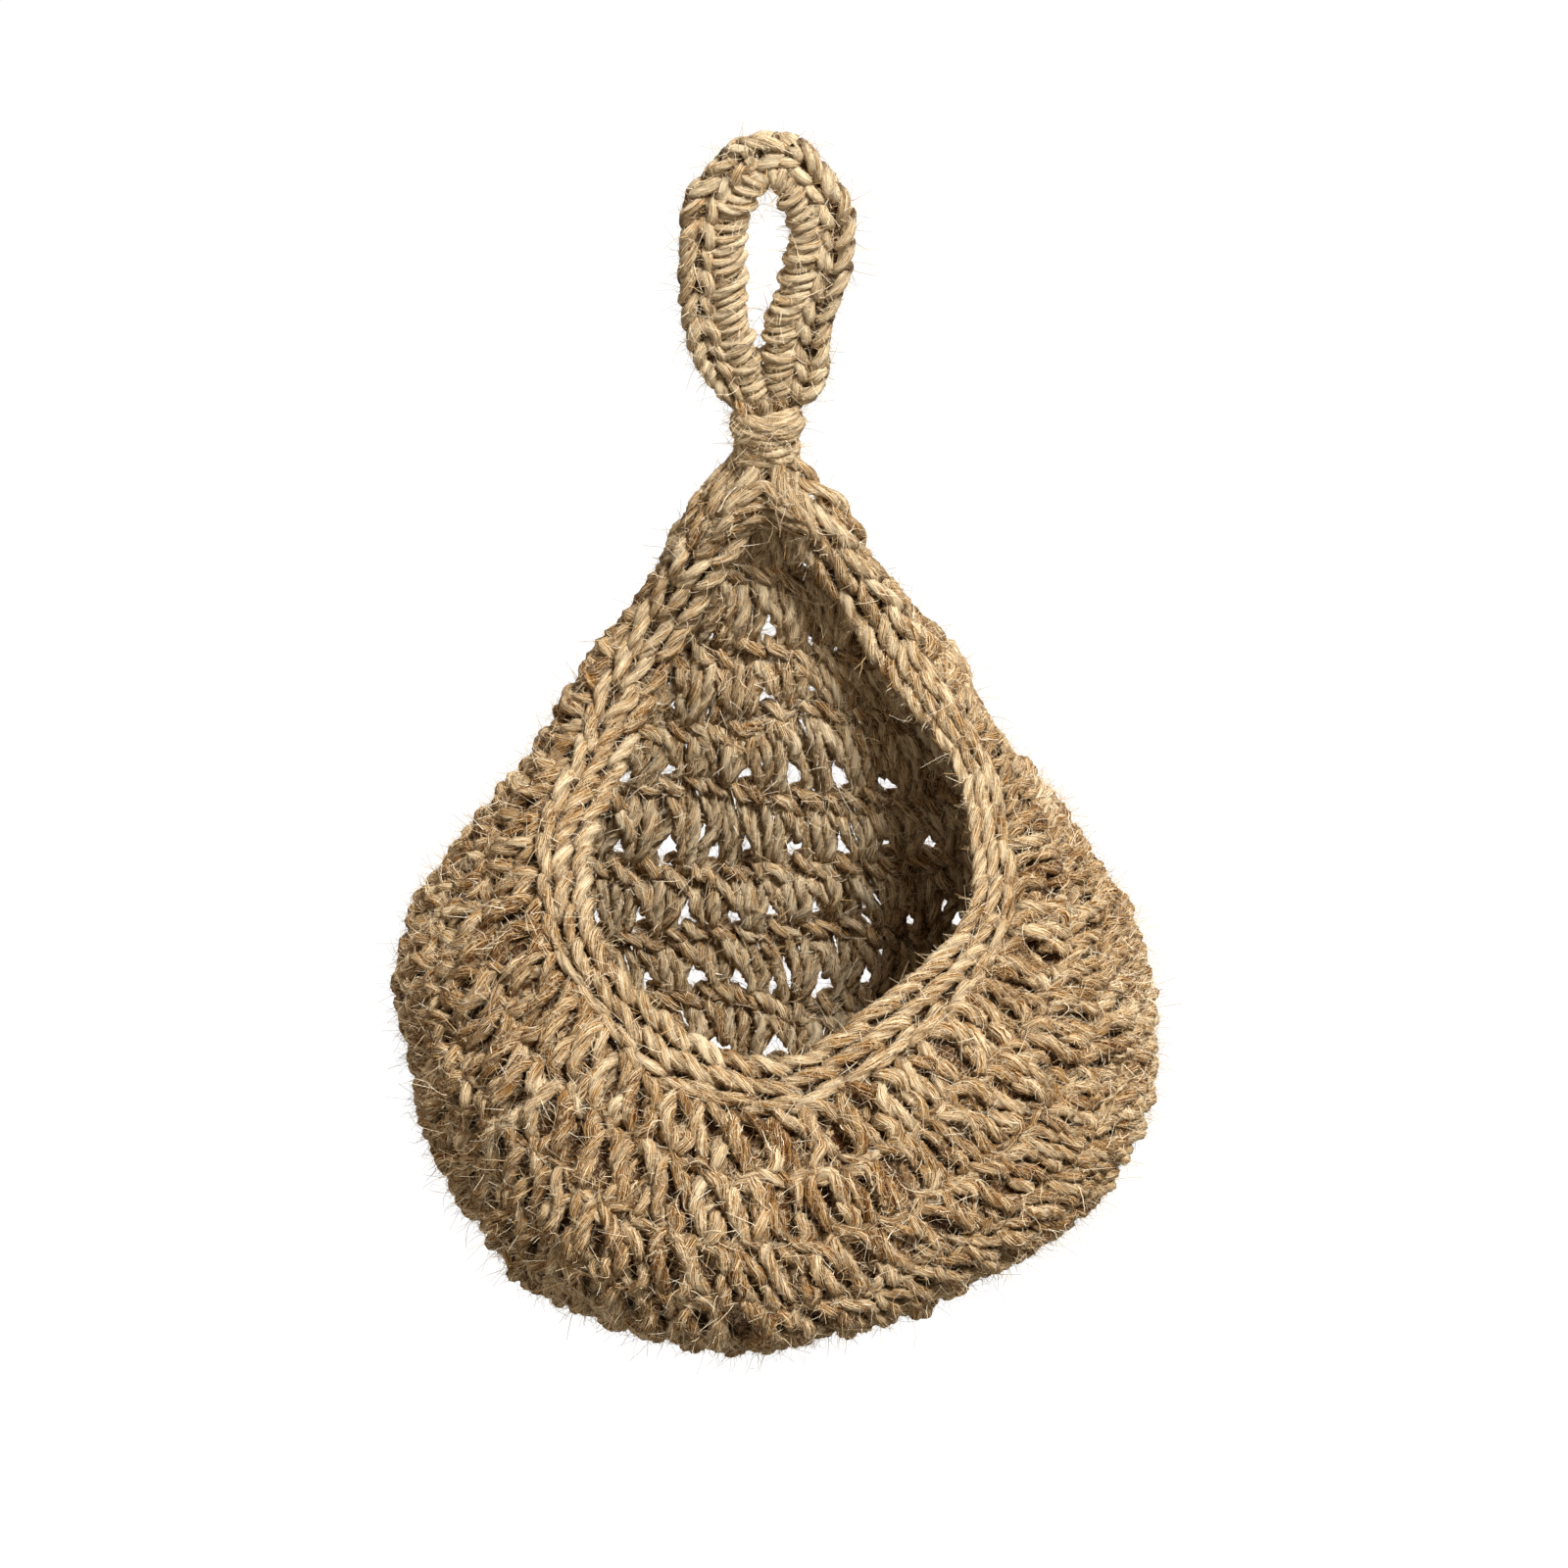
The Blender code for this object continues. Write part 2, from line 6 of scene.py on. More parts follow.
import bpy
import numpy as np
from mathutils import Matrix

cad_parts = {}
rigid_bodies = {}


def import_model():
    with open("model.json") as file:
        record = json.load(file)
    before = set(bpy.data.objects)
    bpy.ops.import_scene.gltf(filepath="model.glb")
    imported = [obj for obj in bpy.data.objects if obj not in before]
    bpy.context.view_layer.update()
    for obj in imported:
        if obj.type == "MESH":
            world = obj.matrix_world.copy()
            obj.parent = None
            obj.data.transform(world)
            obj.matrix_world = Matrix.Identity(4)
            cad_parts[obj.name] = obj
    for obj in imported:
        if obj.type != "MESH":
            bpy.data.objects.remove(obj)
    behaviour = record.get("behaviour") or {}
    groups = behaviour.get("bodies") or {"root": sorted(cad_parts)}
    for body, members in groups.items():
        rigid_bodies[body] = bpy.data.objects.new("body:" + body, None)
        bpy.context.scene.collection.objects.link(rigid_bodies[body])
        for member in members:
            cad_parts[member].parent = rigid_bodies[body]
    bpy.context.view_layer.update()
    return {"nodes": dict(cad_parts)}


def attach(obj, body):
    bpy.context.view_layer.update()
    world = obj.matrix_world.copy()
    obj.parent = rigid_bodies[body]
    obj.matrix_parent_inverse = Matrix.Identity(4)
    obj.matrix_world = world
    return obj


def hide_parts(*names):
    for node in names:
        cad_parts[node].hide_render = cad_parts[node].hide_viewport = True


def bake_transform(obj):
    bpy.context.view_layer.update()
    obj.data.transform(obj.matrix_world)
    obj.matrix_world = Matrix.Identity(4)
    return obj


for old in list(bpy.data.objects):
    bpy.data.objects.remove(old, do_unlink=True)

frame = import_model()
mm = 0.001
rng = np.random.default_rng(11)
print("frame: loaded", len(frame["nodes"]), "solids")


# camera and light

shot = dict(
    lookDown=30.0,            # degrees below the horizontal
    distance=1600 * mm,
    aim=(0, -50.45 * mm, -184.1 * mm),
    shiftRight=4.25 * mm,     # frame centre against the aim, in the plane through it
    shiftUp=39.5 * mm,
    lens=144.0,
    clip=(0.05, 30),
)


def makeCamera():
    down = math.radians(shot["lookDown"])
    ahead = np.array([0, math.cos(down), -math.sin(down)])
    up = np.array([0, math.sin(down), math.cos(down)])
    place = np.array(shot["aim"]) - ahead * shot["distance"] + up * shot["shiftUp"]
    place[0] += shot["shiftRight"]
    data = bpy.data.cameras.new("photoCamera")
    data.lens = shot["lens"]
    data.clip_start, data.clip_end = shot["clip"]
    camera = bpy.data.objects.new("photoCamera", data)
    camera.location = place
    camera.rotation_euler = (math.radians(90) - down, 0, 0)
    bpy.context.scene.collection.objects.link(camera)
    bpy.context.scene.camera = camera


makeCamera()
bpy.context.scene.view_settings.view_transform = "Standard"


# small helpers

# the linear colour of an sRGB hex colour
def linear(hexColour):
    parts = [int(hexColour[i:i + 2], 16) / 255 for i in (1, 3, 5)]
    return [p / 12.92 if p <= 0.04045 else ((p + 0.055) / 1.055) ** 2.4 for p in parts] + [1.0]


def unit(vectors):
    return vectors / np.maximum(np.linalg.norm(vectors, axis=-1, keepdims=True), 1e-9)


# weights that turn control points into a natural cubic curve read at places from 0 to 1
def curveWeights(count, places):
    system = np.zeros((count, count))
    bends = np.zeros((count, count))
    system[0, 0] = system[-1, -1] = 1
    for i in range(1, count - 1):
        system[i, i - 1:i + 2] = 1, 4, 1
        bends[i, i - 1:i + 2] = 6, -12, 6
    curve = np.linalg.solve(system, bends)
    reach = np.asarray(places, float) * (count - 1)
    i = np.clip(reach.astype(int), 0, count - 2)
    b = (reach - i)[:, None]
    a = 1 - b
    own = np.eye(count)
    return a * own[i] + b * own[i + 1] + ((a ** 3 - a) * curve[i] + (b ** 3 - b) * curve[i + 1]) / 6


def smoothCurve(control, steps):
    return curveWeights(len(control), np.linspace(0, 1, steps)) @ control


def lengthsAlong(points):
    return np.concatenate([[0], np.cumsum(np.linalg.norm(np.diff(points, axis=0), axis=1))])


def readLine(line, places):
    order = np.arange(len(line))
    return np.stack([np.interp(places, order, line[:, k]) for k in range(3)], axis=-1)


# adds a shader node with its settings and its links, from sockets or from nodes' first outputs
def addNode(tree, kind, settings=None, links=None):
    made = tree.nodes.new("ShaderNode" + kind)
    for name, value in (settings or {}).items():
        if isinstance(name, str) and hasattr(made, name):
            setattr(made, name, value)
        else:
            made.inputs[name].default_value = value
    for name, source in (links or {}).items():
        tree.links.new(getattr(source, "outputs", [source])[0], made.inputs[name])
    return made


def setInputs(shader, values):
    for name, value in values.items():
        shader.inputs[name].default_value = value


# a new material with its node tree and its shader
def newMaterial(name):
    material = bpy.data.materials.new(name)
    material.use_nodes = True
    return material, material.node_tree, material.node_tree.nodes["Principled BSDF"]


# lays a colour over another one, by a share from 0 to 1
def colourOver(tree, share, below, colour):
    mixed = addNode(tree, "Mix", {"data_type": "RGBA"})
    mixed.inputs[7].default_value = linear(colour)
    tree.links.new(share, mixed.inputs[0])
    tree.links.new(below, mixed.inputs[6])
    return mixed.outputs[2]


# materials

uvLength = 10.0     # mm of yarn for each step of its texture coordinate
juteYarn = dict(
    dark="#482309", mid="#AE7F40", light="#F6E2BC",    # between the fibres, their body, their lit tops
    places=(0.38, 0.49, 0.62),                         # where those three lie on the ramp
    deep="#3C1B05",                                    # painted shade, down between the stitches and in the plies' groove
    girth=13.0,                                        # mm round a yarn
    fibreWidth=0.24, fibreLength=6.0,                  # mm; coarser than real fibre so that it shows
    strayCell=3.6, strayWidth=0.013, strayShare=0.6,   # mm between stray fibres felted onto the yarn
    patchLength=16.0, patchesRound=5.0,                # mm, lighter and darker lengths of yarn
    patchDepth=0.3,                                    # how much those lengths shift along the ramp
    roughness=0.78, ior=1.4, gloss=0.12,
    sheen=0.05, sheenRoughness=0.5,
    bump=0.9, bumpHeight=0.5 * mm, strayHeight=0.5,
)
juteFibre = dict(shaded="#C9A264", colour="#FFF3D8", roughness=0.6, ior=1.4)


# Fine curled lines all over the yarn, where stray fibres have felted onto it.
def feltedFibres(tree, look):
    place = addNode(tree, "TexCoord")
    field = addNode(tree, "TexNoise",
                    {"Scale": 1 / (look["strayCell"] * mm), "Detail": 1.0, "Distortion": 0.6},
                    {"Vector": place.outputs["Object"]})
    parts = addNode(tree, "SeparateColor", {}, {0: field.outputs["Color"]})
    nearest = None
    for part in parts.outputs:
        off = addNode(tree, "Math", {"operation": "SUBTRACT", 1: 0.5}, {0: part})
        off = addNode(tree, "Math", {"operation": "ABSOLUTE"}, {0: off})
        if nearest is not None:
            off = addNode(tree, "Math", {"operation": "MINIMUM"}, {0: off, 1: nearest})
        nearest = off
    line = addNode(tree, "MapRange",
                   {"From Max": look["strayWidth"], "To Min": look["strayShare"], "To Max": 0.0},
                   {"Value": nearest})
    return line.outputs[0]


# Twisted jute: dry, matte bast fibre, so straw-coloured streaks run along each ply, with brown lines
# between them, a soft pale sheen and no gloss. Painted shade darkens it toward a deep brown between the
# stitches and in the plies' groove.
def makeYarnMaterial(name, look):
    material, tree, shader = newMaterial(name)
    place = addNode(tree, "UVMap", {"uv_map": "yarn"})
    streaks = addNode(tree, "Mapping",
                      {"Scale": (uvLength / look["fibreLength"], look["girth"] / look["fibreWidth"], 1)},
                      {"Vector": place})
    fine = addNode(tree, "TexNoise", {"Scale": 1.0, "Detail": 2.0, "Roughness": 0.6, "Distortion": 0.5},
                   {"Vector": streaks})
    lengths = addNode(tree, "Mapping",
                      {"Scale": (uvLength / look["patchLength"], look["patchesRound"], 1)},
                      {"Vector": place})
    patches = addNode(tree, "TexNoise", {"Scale": 1.0, "Detail": 2.0}, {"Vector": lengths})
    tone = addNode(tree, "Attribute", {"attribute_name": "tone"})
    deep = addNode(tree, "Attribute", {"attribute_name": "deep"})
    lifted = addNode(tree, "Math",
                     {"operation": "MULTIPLY_ADD", 1: look["patchDepth"], 2: -look["patchDepth"] / 2},
                     {0: patches})
    mixed = addNode(tree, "Math", {"operation": "ADD"}, {0: fine, 1: lifted})
    toned = addNode(tree, "Math", {"operation": "ADD"}, {0: mixed, 1: tone.outputs["Fac"]})
    ramp = addNode(tree, "ValToRGB", {}, {"Fac": toned})
    elements = ramp.color_ramp.elements
    elements[0].position, middlePlace, elements[1].position = look["places"]
    elements[0].color = linear(look["dark"])
    elements[1].color = linear(look["light"])
    elements.new(middlePlace).color = linear(look["mid"])
    # painted shade: the colour is drawn toward the deep brown where the vertex attribute marks steps
    # between the stitches and in the plies' groove
    sunk = colourOver(tree, deep.outputs["Fac"], ramp.outputs[0], look["deep"])
    felted = feltedFibres(tree, look)
    colour = colourOver(tree, felted, sunk, look["light"])
    height = addNode(tree, "Math", {"operation": "MULTIPLY_ADD", 1: look["strayHeight"]},
                     {0: felted, 2: fine})
    raised = addNode(tree, "Bump", {"Strength": look["bump"], "Distance": look["bumpHeight"]},
                     {"Height": height})
    tree.links.new(colour, shader.inputs["Base Color"])
    tree.links.new(raised.outputs[0], shader.inputs["Normal"])
    setInputs(shader, {
        "Roughness": look["roughness"], "IOR": look["ior"], "Specular IOR Level": look["gloss"],
        "Sheen Weight": look["sheen"], "Sheen Roughness": look["sheenRoughness"],
        "Sheen Tint": linear(look["light"]),
    })
    return material


# Loose jute fibre: single pale hairs that catch the light round every yarn.
def makeFibreMaterial(name, look):
    material, tree, shader = newMaterial(name)
    tone = addNode(tree, "Attribute", {"attribute_name": "tone"})
    ramp = addNode(tree, "ValToRGB", {}, {"Fac": tone.outputs["Fac"]})
    ramp.color_ramp.elements[0].color = linear(look["shaded"])
    ramp.color_ramp.elements[1].color = linear(look["colour"])
    tree.links.new(ramp.outputs[0], shader.inputs["Base Color"])
    setInputs(shader, {"Roughness": look["roughness"], "IOR": look["ior"]})
    return material


yarnMaterial = makeYarnMaterial("juteTwistedYarn", juteYarn)
fibreMaterial = makeFibreMaterial("juteLooseFibre", juteFibre)
print("materials: made")


# yarn

yarn = dict(
    sides=10, hiddenSides=6,
    lay=15.0 * mm,       # one full turn of the two plies
    untwist=0.5,         # how far the fibres in a ply turn back against it, as a share of that turn
    groove=0.30,         # how deep the plies' groove is, as a share of the radius
    grooveShade=0.5,     # and how much painted shade darkens it
    bundles=0.045,       # how unevenly the fibre bundles round a yarn stand out
    swell=0.06, swellLength=4.3 * mm,
    toneSpread=0.03,     # how much strands differ in tone
    shownShade=0.7,      # fibres stand only where a strand's painted shade is less than this
)
fullTurn = 2 * math.pi


def newPiece():
    return dict(points=[], faces=[], yarnUv=[], tone=[], deep=[], slots=[], count=0,
                roots=[], rootOut=[], rootAlong=[], metres=0.0)


def addPart(piece, points, faces, yarnUv, tone, deep, slot=0):
    piece["points"].append(points.reshape(-1, 3))
    piece["faces"].append(faces.reshape(-1, 4))
    piece["yarnUv"].append(yarnUv.reshape(-1, 2))
    piece["tone"].append(tone.reshape(-1))
    piece["deep"].append(deep.reshape(-1))
    piece["slots"].append(np.full(faces.size // 4, slot))
    piece["count"] += tone.size


# How much painted shade darkens each step of a strand: most at and below the start, and none a reach above
# it.
def paintedShadeOf(lift, most=0.8, start=-0.4 * mm, reach=2.2 * mm):
    return np.clip(most - np.clip(lift - start, 0, None) / reach, 0, most)


# the texture places of every face's four corners, each given as along the yarn and round it
def cornerPlaces(*corners):
    return np.stack(np.broadcast_arrays(*[value for corner in corners for value in corner]), axis=-1)


# Lays one tube of two-ply yarn along each path. paths is (strands, steps, 3) in metres; the argument after
# the radius says how much painted shade darkens each step where it lies down between the stitches; leaf how
# much thinner a strand is at its ends, where it is pulled tight; the tone shift after hidden is painted
# light, lighter above 0 and darker below; and spread how much the strands' radii differ.
def layYarn(piece, paths, radius, deep=0.0, leaf=0.0, hidden=False, paintedLightShift=0.0, spread=0.0):
    strands, steps, _ = paths.shape
    radius = radius * rng.normal(1, spread, strands) if spread else np.full(strands, radius)
    deep = np.broadcast_to(deep, (strands, steps))
    along = unit(np.gradient(paths, axis=1))
    side = np.empty_like(paths)
    side[:, 0] = unit(np.cross(along[:, 0], np.array([0.31, 0.52, 0.79])))
    for i in range(1, steps):
        square = np.sum(side[:, i - 1] * along[:, i], axis=1, keepdims=True)
        side[:, i] = unit(side[:, i - 1] - along[:, i] * square)
    other = np.cross(along, side)
    run = np.zeros((strands, steps))
    run[:, 1:] = np.cumsum(np.linalg.norm(np.diff(paths, axis=1), axis=2), axis=1)
    ends = np.minimum(run, run[:, -1:] - run) / radius[:, None]
    taper = np.sqrt(np.clip(1 - (1 - np.clip(ends, 0, 1)) ** 2, 0.01, 1))
    t = run / run[:, -1:]
    taper = taper * (1 - leaf * np.abs(2 * t - 1) ** 2.2)
    sides = yarn["hiddenSides"] if hidden else yarn["sides"]
    local = fullTurn * (np.arange(sides) / sides) + math.pi / 2
    grooved = 1 - np.abs(np.cos(local)) ** 0.7
    bundles = 1 + rng.normal(0, yarn["bundles"], (strands, 1, sides))
    plies = (1 - yarn["groove"] * grooved) * bundles
    turn = fullTurn * run / yarn["lay"] + rng.uniform(0, fullTurn, (strands, 1))
    angle = local + turn[..., None]
    phase = rng.uniform(0, 6.28, (strands, 1))
    swell = 1 + yarn["swell"] * np.sin(run / yarn["swellLength"] + phase)
    out = np.cos(angle)[..., None] * side[:, :, None] + np.sin(angle)[..., None] * other[:, :, None]
    reach = (radius[:, None] * taper * swell)[..., None] * plies
    ring = paths[:, :, None] + out * reach[..., None]
    base = piece["count"] + (np.arange(strands)[:, None, None] * steps
                             + np.arange(steps - 1)[None, :, None]) * sides
    k = np.arange(sides)[None, None, :]
    nextK = (k + 1) % sides
    faces = np.stack([base + k, base + nextK, base + nextK + sides, base + k + sides], axis=-1)
    u = (run / (uvLength * mm) + rng.uniform(0, 90, (strands, 1)))[..., None]
    v = (yarn["untwist"] * run / yarn["lay"])[..., None] + np.arange(sides + 1) / sides
    corners = cornerPlaces((u[:, :-1], v[:, :-1, :-1]), (u[:, :-1], v[:, :-1, 1:]),
                           (u[:, 1:], v[:, 1:, 1:]), (u[:, 1:], v[:, 1:, :-1]))
    # painted light: each piece's strands are made lighter above 0 and darker below, for their place in the
    # light, with a random spread around that
    tone = rng.normal(paintedLightShift, yarn["toneSpread"], (strands, 1, 1))
    tone = np.broadcast_to(tone, (strands, steps, sides))
    # painted shade: darkest where a step lies down between the stitches and in the groove between the plies
    sunk = np.clip(deep[..., None] + yarn["grooveShade"] * grooved ** 2, 0, 1)
    addPart(piece, ring, faces, corners, tone, sunk)
    if not hidden:
        piece["metres"] += float(run[:, -1].sum())
        shown = deep < yarn["shownShade"]
        piece["roots"].append(ring[shown].reshape(-1, 3))
        piece["rootOut"].append(out[shown].reshape(-1, 3))
        piece["rootAlong"].append(np.repeat(along[:, :, None], sides, axis=2)[shown].reshape(-1, 3))


# painted shade: the backing sheet is darkened almost wholly to the deep brown, and its tone is lowered
backing = dict(tone=-0.05, deep=0.85, columnStep=0.25, rowStep=0.2)


# A closed backing of felted yarn behind the stitches, from a grid of points, painted dark as shade.
def layBacking(piece, grid):
    rows, columns, _ = grid.shape
    index = piece["count"] + np.arange(rows * columns).reshape(rows, columns)
    faces = np.stack([index[:-1, :-1], index[:-1, 1:], index[1:, 1:], index[1:, :-1]], axis=-1)
    u = np.arange(columns) * backing["columnStep"]
    v = np.arange(rows)[:, None] * backing["rowStep"]
    corners = cornerPlaces((u[:-1], v[:-1]), (u[1:], v[:-1]), (u[1:], v[1:]), (u[:-1], v[1:]))
    tone = np.full(rows * columns, backing["tone"])
    addPart(piece, grid, faces, corners, tone, np.full(rows * columns, backing["deep"]))


# loose fibres: those that lie on the yarn, those that stand off it and the few long strays
fuzz = (
    dict(perMetre=500, steps=3, shortest=1.2 * mm, longest=4.5 * mm, width=0.18 * mm,
         stand=(0.12, 0.45), spread=0.8, curl=0.5),
    dict(perMetre=850, steps=3, shortest=0.8 * mm, longest=3.4 * mm, width=0.16 * mm,
         stand=(0.4, 1.0), spread=0.9, curl=0.8),
    dict(perMetre=1140, steps=5, shortest=2.5 * mm, longest=8.5 * mm, width=0.18 * mm,
         stand=(0.15, 0.6), spread=1.0, curl=1.7),
)
innerFuzz = 0.2     # share of the fibres kept on the side that faces a piece's centre


def addFuzz(piece, share=1.0, centre=None):
    roots = np.concatenate(piece["roots"])
    outs = np.concatenate(piece["rootOut"])
    alongs = np.concatenate(piece["rootAlong"])
    if centre is not None:
        outside = np.sum((roots - np.array(centre)) * outs, axis=1) > -0.01
        keep = outside | (rng.uniform(0, 1, len(roots)) < innerFuzz)
        roots, outs, alongs = roots[keep], outs[keep], alongs[keep]
    for look in fuzz:
        count = int(piece["metres"] * look["perMetre"] * share)
        steps = look["steps"]
        pick = rng.integers(0, len(roots), count)
        out = outs[pick]
        aim = alongs[pick] * rng.normal(0, 1, (count, 1)) + rng.normal(0, look["spread"], (count, 3))
        aim = aim - out * np.sum(aim * out, axis=1, keepdims=True)
        aim = unit(unit(aim) + out * rng.uniform(*look["stand"], (count, 1)))
        length = rng.uniform(0, 1, (count, 1, 1)) ** 1.5 * (look["longest"] - look["shortest"])
        length = length + look["shortest"]
        t = np.linspace(0, 1, steps)[None, :, None]
        bend = rng.normal(0, look["curl"], (count, 1, 3)) - out[:, None] * 0.15
        curl = rng.normal(0, look["curl"] * 0.8, (count, 1, 3))
        path = aim[:, None] * t + bend * t ** 2 + curl * t ** 3
        path = path / np.maximum(1, np.linalg.norm(path[:, -1:], axis=2, keepdims=True))
        path = roots[pick][:, None] + length * path
        run = unit(np.gradient(path, axis=1))
        flat = unit(np.cross(run, out[:, None] + rng.normal(0, 0.5, (count, 1, 3))))
        half = look["width"] / 2 * (1 - 0.6 * t) * rng.uniform(0.7, 1.3, (count, 1, 1))
        both = np.stack([path - flat * half, path + flat * half], axis=2)
        base = piece["count"] + (np.arange(count)[:, None] * steps + np.arange(steps - 1)) * 2
        faces = np.stack([base, base + 1, base + 3, base + 2], axis=-1)
        tone = np.repeat(rng.uniform(0, 1, count), steps * 2)
        addPart(piece, both, faces, np.zeros((faces.size, 2)), tone, np.zeros(len(tone)), slot=1)


# Handmade unevenness: the same slow swells for every piece, so that neighbours move together.
lumps = dict(
    waves=rng.normal(0, 1, (9, 3)) / (11 * mm),
    ways=rng.normal(0, 1, (9, 3)),
    phases=rng.uniform(0, 2 * math.pi, 9),
    basket=0.42 * mm, loop=0.25 * mm,     # how far each swell goes, in the basket and in the loop
    basketFrom=-75 * mm, basketOver=25 * mm,
    # where the whole piece settles sideways: height, reach up and down, and how far to the right
    # it goes at each place across
    across=(-90, -45, 0, 45, 90),
    settled=(
        (-36, 22, -2, -2, -2, -2, -2), (-66, 12, -0.8, -0.8, -0.8, -0.8, -0.8),
        (-78, 11, -1.8, -1.8, -1.8, -1.8, -1.8), (-112, 16, 0, 0, 0, 3, 0),
        (-118, 20, -4, -1.4, 0, 0, 0), (-143, 36, 0, 0, 0, 3.2, -3), (-168, 40, 2.2, 1.1, 0, 0, -3.2),
        (-190, 22, -2.4, 0, 0, 0, 0), (-222, 26, 0.6, 0, 0, 0, 3.8),
    ),
    # below the bottom line it settles upward instead, by so much at these places across
    bottom=-200 * mm, bottomReach=60 * mm, raisedAt=(-30, -8, 20), raised=(0, 1.5, 6),
)


# how far along a soft hill a height is: 1 on its middle and 0 past its reach
def hill(z, middle, reach):
    return np.cos(np.clip((z / mm - middle) / reach, -1, 1) * math.pi / 2) ** 2


def unevenPoints(points):
    slip = np.sin(points @ lumps["waves"].T + lumps["phases"]) @ lumps["ways"] / 3
    share = np.clip((lumps["basketFrom"] - points[:, 2:]) / lumps["basketOver"], 0, 1)
    moved = points + slip * (lumps["loop"] + (lumps["basket"] - lumps["loop"]) * share) * 3
    x, z = points[:, 0], points[:, 2]
    for middle, reach, *moves in lumps["settled"]:
        moved[:, 0] += hill(z, middle, reach) * np.interp(x / mm, lumps["across"], moves) * mm
    low = np.clip((lumps["bottom"] - z) / lumps["bottomReach"], 0, 1)
    low = low * low * (3 - 2 * low)
    moved[:, 2] += low * np.interp(x / mm, lumps["raisedAt"], lumps["raised"]) * mm
    return moved


# Makes the mesh object of a piece, hides the solids it stands for, and hangs it from a body, or leaves it
# where it is when it lies between two.
def finishPiece(name, piece, nodes, body=None, between=None, fuzzShare=1.0, centre=None):
    addFuzz(piece, fuzzShare, centre)
    points = unevenPoints(np.concatenate(piece["points"])).astype(np.float32)
    faces = np.concatenate(piece["faces"]).astype(np.int32)
    mesh = bpy.data.meshes.new(name)
    mesh.vertices.add(len(points))
    mesh.vertices.foreach_set("co", points.ravel())
    mesh.loops.add(faces.size)
    mesh.loops.foreach_set("vertex_index", faces.ravel())
    mesh.polygons.add(len(faces))
    mesh.polygons.foreach_set("loop_start", np.arange(0, faces.size, 4, dtype=np.int32))
    mesh.update(calc_edges=True)
    layer = mesh.uv_layers.new(name="yarn")
    layer.data.foreach_set("uv", np.concatenate(piece["yarnUv"]).astype(np.float32).ravel())
    for key in ("tone", "deep"):
        values = mesh.attributes.new(key, "FLOAT", "POINT")
        values.data.foreach_set("value", np.concatenate(piece[key]).astype(np.float32))
    mesh.materials.append(yarnMaterial)
    mesh.materials.append(fibreMaterial)
    mesh.polygons.foreach_set("material_index", np.concatenate(piece["slots"]).astype(np.int32))
    mesh.polygons.foreach_set("use_smooth", np.ones(len(faces), bool))
    mesh.update()
    made = bpy.data.objects.new(name, mesh)
    bpy.context.scene.collection.objects.link(made)
    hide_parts(*nodes)
    if between:
        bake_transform(made)
    else:
        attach(made, body)
    print(f"{name}: {len(faces)} faces, {piece['metres']:.2f} m of yarn")
    return made


# the pocket's skin, as in the solids

pocket = dict(
    width=195 * mm, height=195 * mm, depth=168 * mm, fabric=7.5 * mm, rimBraid=6.3 * mm,
    gap=0.3 * mm, courses=13, backRows=8, lean=3 * mm,
    wallY=9.55 * mm, apexZ=-74.1 * mm, gatherZ=-87.1 * mm,
    stations=320, steps=60, leanStep=3, shortestCourse=1.5 * mm,
)
# (across, forward, down) in hundredths of half the width, of the depth in front of the back and of
# the height, from the left of the apex round the bottom to its right
rimShares = (
    (-4, 0, 2), (-16, 0, 11), (-29, 1, 23), (-42, 8, 33), (-52, 23, 39), (-57, 38, 43), (-51, 53, 48),
    (-32, 67, 54), (-3, 74, 57), (26, 67, 54), (50, 52, 50), (58, 38, 45), (54, 23, 39), (42, 8, 33),
    (28, 1, 23), (15, 0, 11), (4, 0, 2),
)
frontHandleShares = (
    (-5, 0, 2), (-18, 0, 11), (-34, 2, 22), (-54, 11, 33), (-72, 26, 40), (-86, 45, 47), (-88, 76, 58),
    (-60, 108, 74), (0, 124, 81), (60, 108, 74), (90, 76, 58), (90, 45, 47), (74, 26, 40),
    (50, 11, 34), (33, 2, 23), (18, 0, 11), (5, 0, 2),
)
backHandleShares = (
    (-5, 0, 2), (-18, 0, 11), (-34, 1, 22), (-57, 5, 34), (-80, 12, 47), (-104, 20, 63),
    (-114, 36, 83), (-85, 70, 101), (0, 88, 106), (83, 69, 100), (114, 36, 83), (106, 20, 63),
    (82, 12, 47), (54, 5, 35), (33, 1, 23), (18, 0, 11), (5, 0, 2),
)
backEdgeShares = (
    (-7, 0, 2), (-20, 0, 11), (-34, 0, 22), (-49, 0, 33), (-64, 0, 45), (-79, 0, 57), (-86, 0, 73),
    (-66, 0, 90), (0, 0, 97), (66, 0, 90), (86, 0, 73), (79, 0, 57), (64, 0, 45), (47, 0, 34),
    (33, 0, 23), (19, 0, 11), (7, 0, 2),
)


def placedShares(shares, lift):
    across, forward, down = np.array(shares).T / 100
    front = pocket["fabric"] + pocket["gap"] + lift
    depth = front + forward * (pocket["depth"] - front)
    return np.stack([across * pocket["width"] / 2, pocket["wallY"] - depth,
                     pocket["apexZ"] - down * pocket["height"]], axis=1)


